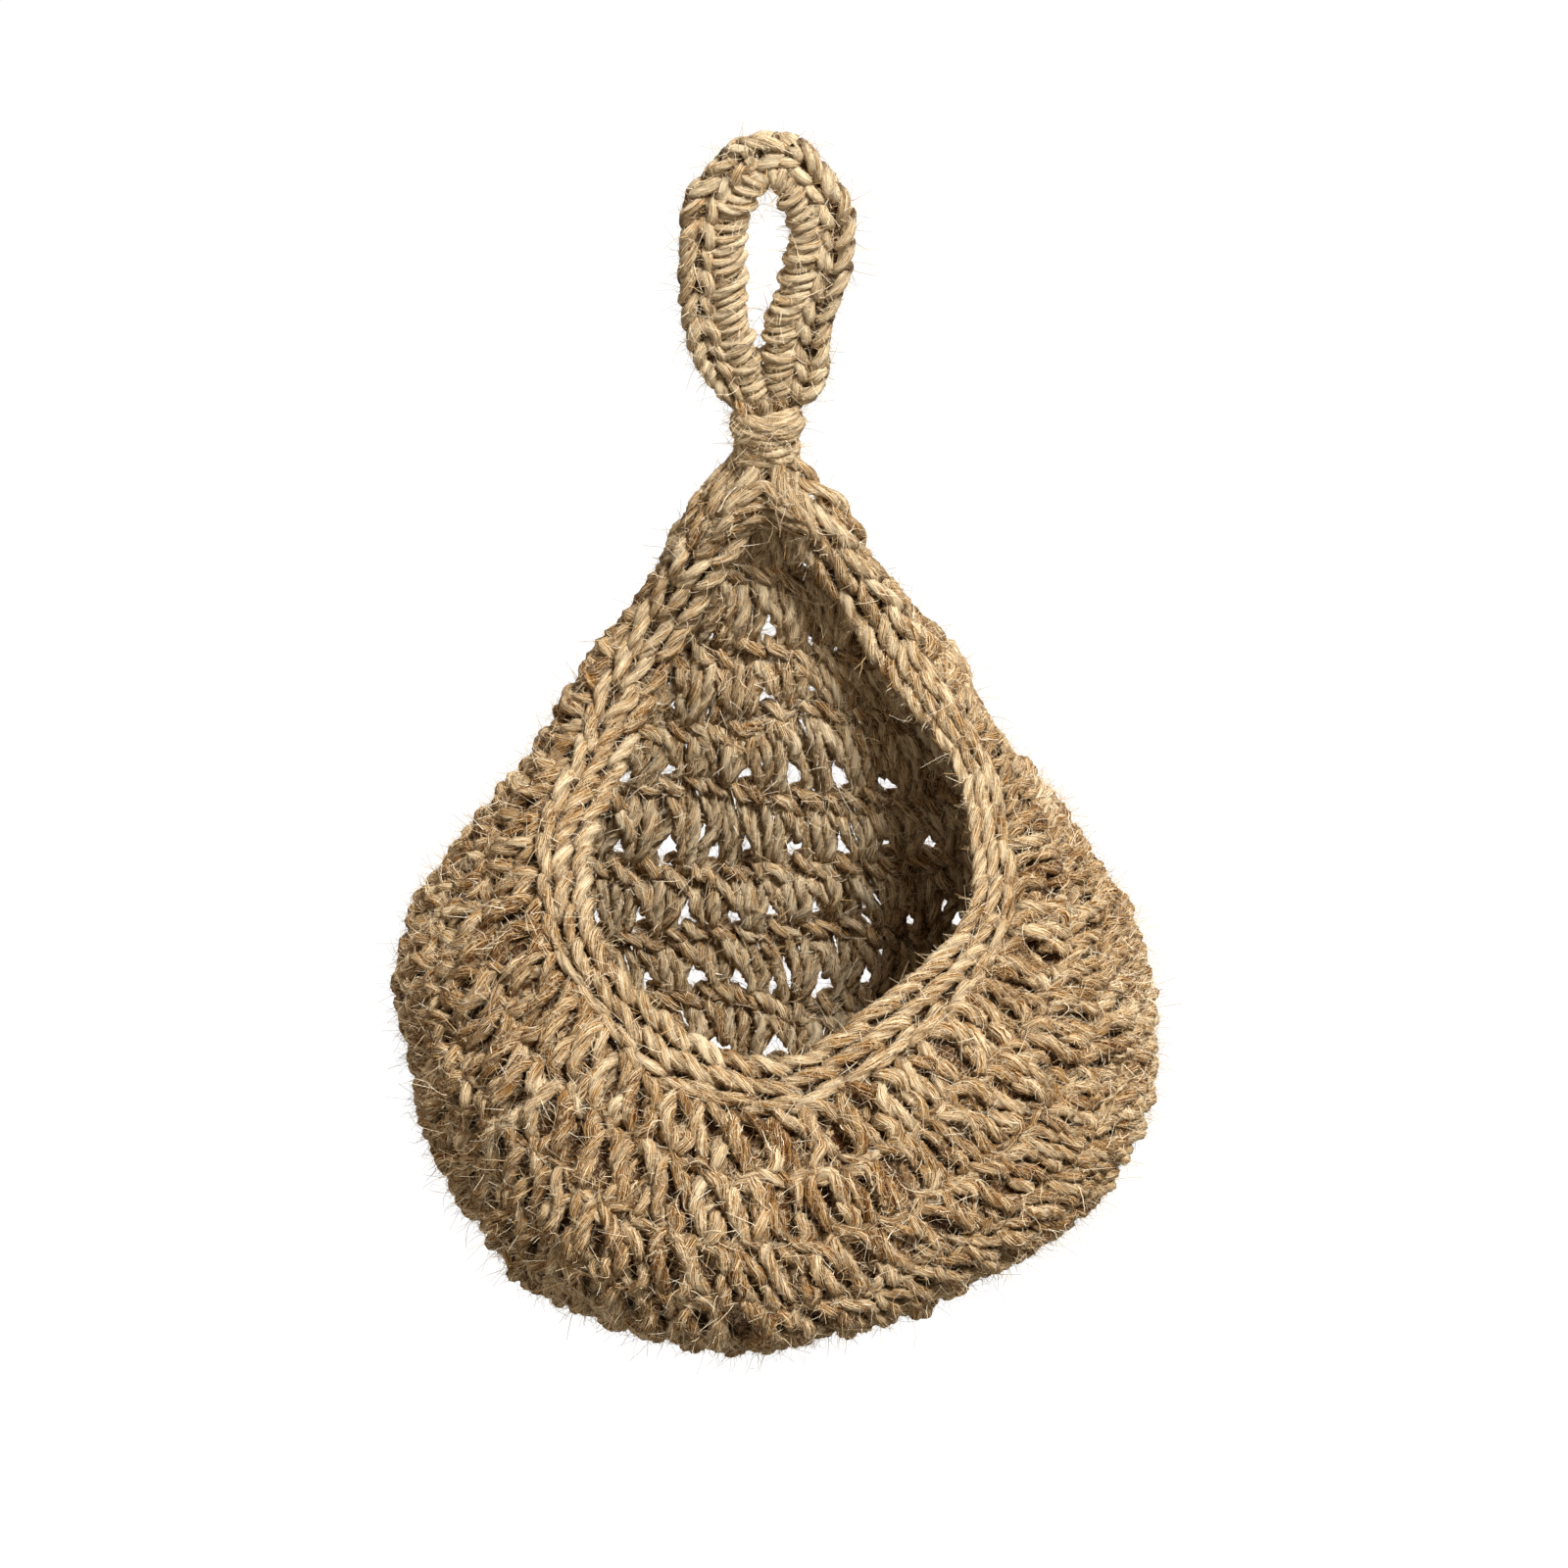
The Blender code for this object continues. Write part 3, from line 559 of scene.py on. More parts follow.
def makeSkinGrid():
    weights = curveWeights(len(rimShares), np.linspace(0, 1, pocket["stations"] + 1))
    lift = pocket["rimBraid"] / 2
    rim = weights @ placedShares(rimShares, lift)
    front = weights @ placedShares(frontHandleShares, lift)
    back = weights @ placedShares(backHandleShares, 0)
    edge = weights @ placedShares(backEdgeShares, 0)
    t = np.linspace(0, 1, pocket["steps"] + 1)[None, :, None]
    s = 1 - t
    grid = rim[:, None] * s ** 3 + 3 * front[:, None] * t * s ** 2
    grid = grid + 3 * back[:, None] * t ** 2 * s + edge[:, None] * t ** 3
    frontY = pocket["wallY"] - pocket["fabric"] - pocket["gap"]
    reach = pocket["depth"] - 1.5 * pocket["fabric"] - pocket["gap"]
    drop = pocket["height"] - pocket["fabric"] / 2
    apex = pocket["apexZ"]
    grid[..., 0] *= (pocket["width"] - pocket["fabric"]) / np.ptp(grid[..., 0])
    grid[..., 1] = frontY + (grid[..., 1] - frontY) * reach / (frontY - grid[..., 1].min())
    grid[..., 2] = apex + (grid[..., 2] - apex) * drop / (apex - grid[..., 2].min())
    grid[..., 0] += pocket["lean"] * (apex - grid[..., 2]) / pocket["height"]
    return grid


skinGrid = makeSkinGrid()
skinSteps = np.linalg.norm(np.diff(skinGrid, axis=1), axis=2)
skinArc = np.concatenate([np.zeros((len(skinSteps), 1)), np.cumsum(skinSteps, axis=1)], axis=1)
skinReach = skinArc[:, -1]
skinFacing = unit(np.cross(np.gradient(skinGrid, axis=0), np.gradient(skinGrid, axis=1)))
if skinFacing[pocket["stations"] // 2, pocket["steps"] // 3, 1] > 0:
    skinFacing = -skinFacing
cells = 160     # the skin again, at even shares of each station's length
skinPoints = np.empty((pocket["stations"] + 1, cells + 1, 3))
skinNormals = np.empty_like(skinPoints)
for station in range(pocket["stations"] + 1):
    shares = np.linspace(0, skinReach[station], cells + 1)
    for k in range(3):
        skinPoints[station, :, k] = np.interp(shares, skinArc[station], skinGrid[station, :, k])
        skinNormals[station, :, k] = np.interp(shares, skinArc[station], skinFacing[station, :, k])
rimHalf = pocket["rimBraid"] + 3 * pocket["gap"]
coursePitch = (skinReach.max() - rimHalf) / pocket["courses"]


def reachAt(station):
    return np.interp(station, np.arange(len(skinReach)), skinReach)


# points over the skin: at a station, a distance down from the rim, lifted off it
def skinAt(station, distance, lift):
    station = np.clip(station, 0, pocket["stations"] - 1e-6)
    i = station.astype(int)
    a = (station - i)[..., None]
    place = np.clip(distance / reachAt(station), 0, 1 - 1e-9) * cells
    j = place.astype(int)
    b = (place - j)[..., None]

    def read(table):
        near = table[i, j] * (1 - a) + table[i + 1, j] * a
        far = table[i, j + 1] * (1 - a) + table[i + 1, j + 1] * a
        return near * (1 - b) + far * b

    return read(skinPoints) + unit(read(skinNormals)) * lift[..., None]


print(f"skin: laid, courses {coursePitch / mm:.1f} mm apart")


# One set of equal stitches with each stitch's own slips. parts says what the template's first two
# numbers are: hundredths, or whole shares.
def stitchPaths(template, count, first=0, slip=(0.035, 0.025, 0.28 * mm), steps=14, parts=100):
    template = np.array(template) / (parts, parts, 1) * (1, 1, mm)
    control = np.repeat(template[None], count, axis=0)
    whole = rng.normal(0, 1, (count, 1, 3)) * np.array(slip)
    each = rng.normal(0, 1, (count, len(template), 3)) * np.array(slip) * 0.6
    control = control + whole + each
    control[..., 0] += first + np.arange(count)[:, None]
    return np.einsum("nc,sci->sni", curveWeights(len(template), np.linspace(0, 1, steps)), control)


# the pocket's courses

wallStitch = dict(
    width=9.75 * mm,
    centre=(0, -72 * mm, -185 * mm),
    # each strand: (along the course, down it, out of it) in hundredths of a stitch and of the course
    # and in millimetres, then radius, steps, how much its ends thin and whether others hide it
    post=(((12, -5, -1.6), (5, 16, 2), (14, 44, 3), (34, 74, 2.3), (60, 100, -1.6)), 2.4, 14, 0.42, False),
    slant=(((16, -2, -1.2), (38, 3, 1.7), (66, 14, 2.6), (88, 34, 1.9), (94, 60, -1)),
           2.15, 12, 0.35, False),
    knuckle=(((78, 44, -1), (86, 60, 1.7), (93, 74, 2.7), (90, 90, 1.9), (76, 103, -1.2)),
             2.3, 10, 0.3, False),
    tangle=(((50, 82, -0.8), (64, 92, 1.2), (88, 101, 1.9), (112, 108, 1.2), (126, 114, -0.8)),
            1.55, 9, 0.3, False),
    tangleOther=(((6, 112, -0.8), (22, 104, 1), (42, 98, 1.7), (62, 92, 0.9), (80, 86, -0.8)),
                 1.5, 8, 0.3, False),
    inner=(((20, -2, -0.4), (15, 28, -1.7), (22, 65, -1.8), (34, 100, -0.4)), 2.2, 10, 0.2, True),
    innerOther=(((76, -2, -0.4), (74, 30, -1.5), (66, 66, -1.8), (56, 100, -0.4)), 2.2, 10, 0.2, True),
    slip=(0.08, 0.055, 0.45 * mm), radiusSpread=0.08,
    overhang=0.1,           # how far strands may pass a course's ends, in stitches
    # hidden bars along the course: how far down it and how many millimetres out of it; the bars are
    # darkened by painted shade
    bars=((1.0, 0.2), (1.02, -1.5)), barRadius=1.8 * mm, barShade=0.6, barSteps=7,
    barWave=(0.035, 0.5),
    # the felted backing: from and to so far down the course, rows, and how deep and rough it lies
    backing=(-0.05, 1.05, 9), backingOut=-0.6 * mm, backingRough=0.35 * mm,
    fuzzGrowth=0.04,        # how much more fibre each course carries than the one above
    # painted shade: the wall's yarn is painted a little darker, as the shade on the walls
    paintedLightShift=-0.012,
    sink=1.7 * mm,          # how far all of it lies under the skin's middle
    smallest=3.0 * mm,      # a stitch with less room than this before the back is left out
)


def makeCourse(course):
    look = wallStitch
    start = rimHalf + course * coursePitch
    room = skinReach - pocket["gap"] - start
    inside = np.nonzero(room >= pocket["shortestCourse"])[0]
    run = np.arange(inside[0], inside[-1] + 1)
    middle = skinAt(run.astype(float), start + np.minimum(coursePitch, room[run]) / 2, np.zeros(len(run)))
    lengths = lengthsAlong(middle)
    count = max(2, int(round(lengths[-1] / look["width"])))
    marks = np.interp(np.linspace(0, lengths[-1], count + 1), lengths, run)

    def onWall(paths):
        station = np.interp(paths[..., 0], np.arange(count + 1), marks)
        end = np.minimum(start + coursePitch, reachAt(station))
        return skinAt(station, start + paths[..., 1] * (end - start), paths[..., 2] - look["sink"])

    centres = np.interp(np.arange(count) + 0.5, np.arange(count + 1), marks)
    keep = np.nonzero(np.minimum(coursePitch, reachAt(centres) - start) > look["smallest"])[0]
    piece = newPiece()
    for part in ("post", "slant", "knuckle", "tangle", "tangleOther", "inner", "innerOther"):
        template, radius, steps, leaf, hidden = look[part]
        paths = stitchPaths(template, count, slip=look["slip"], steps=steps)[keep]
        first, last = keep[0] - look["overhang"], keep[-1] + 1 + look["overhang"]
        paths[..., 0] = np.clip(paths[..., 0], first, last)
        layYarn(piece, onWall(paths), radius * mm, paintedShadeOf(np.abs(paths[..., 2])), leaf, hidden,
                look["paintedLightShift"], look["radiusSpread"])
    across = np.linspace(keep[0], keep[-1] + 1, len(keep) * look["barSteps"] + 1)
    downWave, outWave = look["barWave"]
    for down, out in look["bars"]:
        wave = np.sin(across * fullTurn + rng.uniform(0, 6.28))
        bar = np.stack([across, down + downWave * wave, (out + outWave * wave) * mm], axis=-1)
        layYarn(piece, onWall(bar[None]), look["barRadius"], look["barShade"], hidden=True)
    rows = np.linspace(*look["backing"])[:, None]
    sheet = np.stack(np.broadcast_arrays(across[None, ::2], rows, look["backingOut"]), axis=-1).copy()
    sheet[..., 2] += rng.normal(0, look["backingRough"], sheet.shape[:2])
    layBacking(piece, onWall(sheet))
    return finishPiece(f"courseYarn{course + 1:02d}", piece, [f"wall_course_{course + 1:02d}"], "basket",
                       fuzzShare=1.0 + look["fuzzGrowth"] * course, centre=look["centre"])


for course in range(pocket["courses"]):
    makeCourse(course)


# the back's rows

backStitch = dict(
    width=11.5 * mm,
    # strands as in the wall's stitch, lifted toward the inside of the pocket
    strands=(
        (((-2, -2, -0.6), (11, 22, 1.6), (19, 48, 2.1), (32, 76, 1.5), (13, 98, -0.4)), 2, 15, 0.2),
        (((26, -3, -0.4), (40, 20, 2), (46, 45, 2.6), (46, 70, 1.9), (50, 95, -0.2)), 1.9, 15, 0.2),
        (((50, 0, -0.6), (66, 24, 1.7), (72, 48, 2.2), (66, 74, 1.7), (64, 96, -0.4)), 2, 15, 0.2),
        (((102, -2, -0.6), (97, 20, 1.2), (90, 46, 1.6), (68, 75, 1.3), (87, 98, -0.6)), 2, 15, 0.2),
        (((66, 2, -0.2), (84, 14, 2.3), (100, 28, 2.7), (112, 46, 2), (112, 66, -0.6)), 1.95, 11, 0.2),
        (((6, 0, -1.2), (20, 30, -1.9), (38, 55, -2.1), (52, 78, -1.9), (44, 100, -1.2)), 2.1, 12, 0.2),
        (((94, 2, -1.2), (80, 30, -1.9), (62, 58, -2.1), (48, 80, -1.9), (60, 100, -1.2)), 2.1, 12, 0.2),
        (((108, 0, -1), (103, 18, -1.6), (100, 36, -1.4), (96, 53, -0.8)), 2.3, 8, 0.1),
        (((52, 0, -0.6), (50, 30, -1.2), (50, 60, -1.2), (52, 90, -0.6)), 1.7, 8, 0.1),
    ),
    # strands that close the fabric beside the wall and here and there elsewhere
    plug=((84, 30, -0.8), (98, 60, 0.6), (106, 84, 0.6), (104, 103, -0.8)),
    # painted light: the back's yarn is painted lighter, as the light that falls into the pocket
    plugRadius=2.7 * mm, plugShare=0.06, paintedLightShift=0.048,
    ridge=((-10, 86, -0.6), (6, 89, 1.8), (25, 97, 2.5), (43, 106, 1.8), (56, 112, -0.6)),
    ridgeRadius=2.0 * mm,
    # the strand that joins each end of a row to the wall
    end=((0, -4, 0.4), (2, 30, 2.2), (2, 68, 2.2), (0, 103, 0.4)),
    endRadius=2.9 * mm,
    wave=2.5 * mm,          # how far a row's edge strays up and down
    waveLengths=(17 * mm, 7.4 * mm), waveShifts=(2.3, 4.1),
    strandSlip=(0.05, 0.035, 0.4 * mm), plugSlip=(0.05, 0.04, 0.4 * mm),
    ridgeSlip=(0.07, 0.04, 0.35 * mm), radiusSpread=0.08,
    # painted shade: the most that strands are darkened down between the stitches, and how dark the plugs,
    # ends and hidden bar are
    mostShade=0.6, plugShade=0.2,
    barRadius=1.8 * mm, barShade=0.5,
)
edgeLine = skinGrid[:, -1]
backMiddleY = pocket["wallY"] - pocket["fabric"] / 2
backTop = pocket["gatherZ"] - pocket["gap"]
rowPitch = (backTop - edgeLine[:, 2].min()) / pocket["backRows"]
halfWay = pocket["stations"] // 2


def edgeX(z, half):
    return np.interp(-z, -half[:, 2], half[:, 0])


# how far the edge between two rows strays from its height; the first and last edges don't
def rowWave(edge, x):
    if edge in (0, pocket["backRows"]):
        return np.zeros_like(x)
    slow, quick = [np.sin(x / length + edge * shift) for length, shift
                   in zip(backStitch["waveLengths"], backStitch["waveShifts"])]
    return backStitch["wave"] * (slow + 0.5 * quick)


def makeRow(row):
    look = backStitch
    top = backTop - row * rowPitch
    last = row == pocket["backRows"] - 1
    left = edgeLine[:halfWay + 1]
    right = edgeLine[:halfWay - 1:-1]
    under = edgeLine[edgeLine[:, 2] < top]
    lowest = top - rowPitch * 0.5
    count = max(2, int(round((edgeX(lowest, right) - edgeX(lowest, left)) / look["width"])))

    def onBack(paths):
        u = paths[..., 0] / count
        if last:
            x = edgeX(top, left) + np.clip(u, 0.02, 0.98) * (edgeX(top, right) - edgeX(top, left))
            z = top + paths[..., 1] * (np.interp(x, under[:, 0], under[:, 2]) - top)
            z = z + (1 - paths[..., 1]) * rowWave(row, x)
        else:
            z = top - paths[..., 1] * rowPitch
            x = edgeX(z, left) + u * (edgeX(z, right) - edgeX(z, left))
            z = z + (1 - paths[..., 1]) * rowWave(row, x) + paths[..., 1] * rowWave(row + 1, x)
        return np.stack([x, backMiddleY - paths[..., 2], z], axis=-1)

    piece = newPiece()
    for template, radius, steps, leaf in look["strands"]:
        paths = stitchPaths(template, count, slip=look["strandSlip"], steps=steps)
        deep = paintedShadeOf(np.abs(paths[..., 2]), look["mostShade"])
        layYarn(piece, onBack(paths), radius * mm, deep, leaf, False, look["paintedLightShift"], look["radiusSpread"])
    plugs = stitchPaths(look["plug"], count, slip=look["plugSlip"], steps=9)
    chosen = rng.uniform(0, 1, count) < look["plugShare"]
    chosen[[0, -3, -2, -1]] = True
    layYarn(piece, onBack(plugs[chosen]), look["plugRadius"], look["plugShade"], 0.2)
    ends = stitchPaths(look["end"], 2, steps=10)
    ends[1, :, 0] = count + 1 - ends[1, :, 0]
    layYarn(piece, onBack(ends), look["endRadius"], look["plugShade"], 0.1)
    for turn in (1, -1):
        for first in (0.0, 0.5):
            paths = stitchPaths(look["ridge"], count, first, slip=look["ridgeSlip"], steps=10)
            paths[..., 0] = np.clip(paths[..., 0], 0.0, count)
            paths[..., 2] *= turn
            deep = paintedShadeOf(np.abs(paths[..., 2]), look["mostShade"])
            layYarn(piece, onBack(paths), look["ridgeRadius"], deep, 0.25, spread=look["radiusSpread"])
    across = np.linspace(0, count, count * 7 + 1)
    bar = np.stack([across, 0.99 + 0.01 * np.sin(across * 6.28), 0.3 * mm * np.cos(across * 6.28)], axis=-1)
    layYarn(piece, onBack(bar[None]), look["barRadius"], look["barShade"])
    return finishPiece(f"backYarn{row + 1:02d}", piece, [f"back_row_{row + 1:02d}"], "basket")


for row in range(pocket["backRows"]):
    makeRow(row)


# the rim's two chains

rimChain = dict(
    pitch=10.5 * mm,
    # (along the rim in pitches, then millimetres from the chain's middle and out of it)
    leg=((-0.10, 3.3, -1.6), (0.25, 3.2, 1.4), (0.68, 2.7, 2.7),
         (1.10, 1.6, 2.3), (1.50, 0.6, -0.8)),
    legRadius=2.15 * mm,
    # painted light: the rim's yarn is painted lighter, as the light on the rim
    paintedLightShift=0.035,
    rounding=0.034,         # millimetres of fall for each square millimetre off the rim's middle
    # where the rim is drawn together: its place and reach in shares of the rim's length, how much
    # of its width it loses there and how far it leans outward
    drawn=(0.79, 0.20), drawnShare=0.35, drawnOut=1.0 * mm,
    # each chain's middle across the rim, and the sides of it that show
    chains=(("inner", -2.7 * mm, (-1,)), ("outer", 2.4 * mm, (1, -1))),
    slip=(0.05, 0.20, 0.2 * mm), leaf=0.32, radiusSpread=0.07,
    apexHalf=4 * mm,        # the chains stop so far short of the middle over the gathered top
    # hidden cores under each chain, left out near the rim's two ends and darkened by painted shade
    coreEnds=12, coreSteps=330, coreShift=1.6 * mm, coreOut=-0.8 * mm,
    coreRadius=1.9 * mm, coreShade=0.75,
)
rimMiddle = skinGrid[:, 0]
rimAlong = unit(np.gradient(rimMiddle, axis=0))
rimOutward = unit(np.stack([rimAlong[:, 2], np.zeros(len(rimAlong)), -rimAlong[:, 0]], axis=1))
rimSide = skinGrid[:, pocket["leanStep"]] - rimMiddle + rimOutward * pocket["fabric"] / 2
rimSide = unit(rimSide - rimAlong * np.sum(rimSide * rimAlong, axis=1, keepdims=True))
rimFace = -np.cross(rimAlong, rimSide)
rimLengths = lengthsAlong(rimMiddle)


def onRim(lengthAlong, across, lift):
    place = np.interp(lengthAlong, rimLengths, np.arange(len(rimLengths)))
    middle, reach = rimChain["drawn"]
    off = np.clip((lengthAlong / rimLengths[-1] - middle) / reach, -1, 1)
    drawn = np.cos(off * math.pi / 2) ** 2
    across = across * (1 - rimChain["drawnShare"] * drawn) + rimChain["drawnOut"] * drawn
    lift = lift - rimChain["rounding"] / mm * across ** 2
    return (readLine(rimMiddle, place) + readLine(rimSide, place) * across[..., None]
            + readLine(rimFace, place) * lift[..., None])


def chainPaths(look, count, turn):
    paths = stitchPaths(look["leg"], count, slip=look["slip"], steps=16, parts=1)
    paths[..., 1] *= turn * mm
    return paths


def makeRim():
    look = rimChain
    count = int(rimLengths[-1] / look["pitch"]) - 1
    apex = newPiece()
    for name, middle, turns in look["chains"]:
        piece = newPiece()
        for turn in turns:
            paths = chainPaths(look, count, turn)
            placed = onRim(paths[..., 0] * look["pitch"], middle + paths[..., 1], paths[..., 2])
            deep = paintedShadeOf(paths[..., 2])
            halfway = placed[:, placed.shape[1] // 2]
            below = halfway[:, 2] <= pocket["gatherZ"]
            above = ~below & (np.abs(halfway[:, 0]) > look["apexHalf"])
            layYarn(apex, placed[above], look["legRadius"], deep[above], look["leaf"], paintedLightShift=look["paintedLightShift"])
            layYarn(piece, placed[below], look["legRadius"], deep[below], look["leaf"], False,
                    look["paintedLightShift"], look["radiusSpread"])
        ends = look["coreEnds"]
        core = np.linspace(rimLengths[ends], rimLengths[-1 - ends], look["coreSteps"])
        for shift in (-look["coreShift"], look["coreShift"]):
            placed = onRim(core, middle + shift, look["coreOut"])
            placed = placed[placed[:, 2] < pocket["gatherZ"]]
            layYarn(piece, placed[None], look["coreRadius"], look["coreShade"], hidden=True)
        finishPiece(f"rimYarn{name.capitalize()}", piece, [f"rim_braid_{name}"], "basket")
    return apex


apexPiece = makeRim()


# neck, binding and apex

neck = dict(
    top=-56.5 * mm, bottom=-74.1 * mm, radius=8.4 * mm,
    # each winding: turns, yarn radius, lift, and where it lies between bottom and top
    windings=((4.8, 2.05 * mm, 0.0, 0.0, 1.0), (3.0, 1.35 * mm, 0.7 * mm, 0.48, 0.98),
              (1.6, 1.3 * mm, 1.1 * mm, 0.62, 0.82)),
    endGap=0.2 * mm,        # the windings stop so far short of the neck's two ends
    endDip=1.2 * mm,        # how far each winding's ends sink in
    inOut=0.3 * mm, upDown=0.5 * mm,
    # the strands inside: how many, how thick, how far out they lie and how much that changes
    strands=7, strandRadius=2.1 * mm, strandOut=3.6 * mm, strandSwell=0.8 * mm, strandEnd=3 * mm,
    # painted shade darkens the strands inside, and painted light lightens the binding's yarn
    strandShade=0.3, paintedLightShift=0.075,
)


def makeNeck():
    look = neck
    core = newPiece()
    angles = np.arange(look["strands"]) * fullTurn / look["strands"]
    z = np.linspace(look["top"] + look["strandEnd"], look["bottom"] - look["strandEnd"], 22)
    spread = look["strandOut"] + look["strandSwell"] * np.cos(np.linspace(0, fullTurn, len(z)))
    for a in angles:
        path = np.stack([spread * math.cos(a), spread * math.sin(a), z], axis=1)
        layYarn(core, path[None], look["strandRadius"], look["strandShade"])
    finishPiece("neckStrands", core, ["neck_core"], "neck", fuzzShare=0.5)
    binding = newPiece()
    for turns, radius, lift, low, high in look["windings"]:
        start = look["bottom"] + radius + look["endGap"]
        rise = look["top"] - look["bottom"] - 2 * radius - 2 * look["endGap"]
        t = np.linspace(0, 1, int(turns * 44))
        a = fullTurn * turns * t + math.pi / 3
        dip = look["endDip"] * (2 * t - 1) ** 8
        r = look["radius"] - radius + lift + look["inOut"] * np.sin(a * 2.3) - dip
        stray = look["upDown"] * np.sin(a * 1.7 + lift * 900)
        height = start + rise * (low + (high - low) * t) + stray
        path = np.stack([r * np.cos(a), r * np.sin(a), height], axis=1)
        layYarn(binding, path[None], radius, paintedLightShift=look["paintedLightShift"])
    finishPiece("neckBindingYarn", binding, ["neck_binding"], "neck", fuzzShare=1.2)


makeNeck()

gather = dict(
    # plain numbers are in millimetres
    # strands that leave the binding and run down into each side of the rim: where they start
    # across it, then how far across the rim they end
    strands=((2, -3), (4, 0.4), (6, 3.6)),
    # where they lie on the rim: how far along it, share of the place across it, and out of it
    feet=((7, 0.75, 0.2), (14, 1, 0.4), (20, 1, -0.8), (26, 0.9, -2.6)),
    shoulder=((5.5, 1, -68), (8.5, 0.5, -74.5), (12, 0.5, -79), (16.5, 1.5, -85),
              (21, 4, -93), (23.5, 7, -100), (24, 8.5, -106)),
    middle=((-3.4, 1), (-0.4, -2), (2.8, 1.4)),
    # height, half width, sag and place before the back of each arch
    arches=((-76.4, 6.6, 3.4, -7.8), (-80.6, 9.2, 3, -7.6), (-84.8, 11.4, 2.8, -6.4),
            (-89, 13, 1.6, -3)),
    # strands that come down out of the binding in front and over onto each side of the rim
    front=(((2.4, -3.6, -68), (3.8, -6.6, -73.6), (6.6, -7.6, -79), (10.2, -7.4, -86),
            (13.4, -5.6, -92)),
           ((1.6, -4.2, -68), (3, -6.4, -73.8), (5.4, -7, -78.5), (8.6, -7, -84),
            (11.6, -5.6, -89.5))),
    radius=2.2 * mm, frontRadius=0.9,      # the front strands' radius as a share of it
    # two strands wound round each other on each shoulder
    coilOut=1.3 * mm, coilRadius=1.8 * mm, coilSteps=44,
    # painted light: the gathered top's yarn is painted lighter, against the shade of the binding over it
    archRadius=1.8 * mm, paintedLightShift=0.04,
    bendFrom=-73 * mm, bendTo=-88 * mm,   # metres; the span between the neck and the basket, passed on only, as the apex is left in place and not bent
)


# one strand of the gathered top along a smooth curve through its control points
def layApexStrand(control, steps, radius, leaf):
    layYarn(apexPiece, smoothCurve(control, steps)[None], radius, 0.0, leaf, paintedLightShift=gather["paintedLightShift"])


def makeApex():
    look = gather
    last = rimLengths[-1]
    for side in (-1, 1):
        for start, across in look["strands"]:
            foot = [onRim(down * mm if side < 0 else last - down * mm, across * mm * share, lift * mm)
                    for down, share, lift in look["feet"]]
            top = np.array([(side * start * 0.8, 0.6 * start - 3, -66.0),
                            (side * start * 1.1, 0.6 * start - 3, -73.5)]) * mm
            path = smoothCurve(np.vstack([top, np.array(foot)]), 40)
            path = path + 0.5 * mm * np.sin(np.linspace(0, 9, 40) + start)[:, None]
            layYarn(apexPiece, path[None], look["radius"], 0.0, 0.2, paintedLightShift=look["paintedLightShift"])
        for control in look["front"]:
            control = np.array(control) * (side, 1, 1) * mm
            layApexStrand(control, 30, look["radius"] * look["frontRadius"], 0.25)
        shoulder = np.array(look["shoulder"]) * (side, 1, 1) * mm
        path = smoothCurve(shoulder, look["coilSteps"])
        for turn in (0, math.pi):
            a = np.linspace(0, 2 * fullTurn, look["coilSteps"]) + turn
            around = np.stack([np.cos(a), np.sin(a), 0.5 * np.cos(a)], axis=1)
            coil = path + around * look["coilOut"]
            layYarn(apexPiece, coil[None], look["coilRadius"], 0.0, 0.3, paintedLightShift=look["paintedLightShift"])
    for start, forward in look["middle"]:
        control = np.array([(start * 0.5, 1.0, -68.0), (start, forward, -76.0),
                            (start * 1.5, 4.5, -84.0), (start * 1.8, 5.8, -92.0)]) * mm
        # painted shade darkens these middle strands a little
        layYarn(apexPiece, smoothCurve(control, 24)[None], look["radius"], 0.2)
    for height, half, sag, before in look["arches"]:
        across = np.linspace(-half, half, 26)
        share = across / half
        path = np.stack([across, before + 0.8 * np.cos(share * 5), height - sag * share ** 2 * 1.6], axis=1)
        # painted shade darkens the arches a little, and painted light lightens them like the rest of the
        # top
        layYarn(apexPiece, path[None] * mm, look["archRadius"], 0.1, paintedLightShift=look["paintedLightShift"])
    bend = ("neck", "basket", (0, 0, look["bendFrom"]), (0, 0, look["bendTo"]))
    finishPiece("apexYarn", apexPiece, ["apex_gather"], between=bend)


makeApex()


# the hanging loop

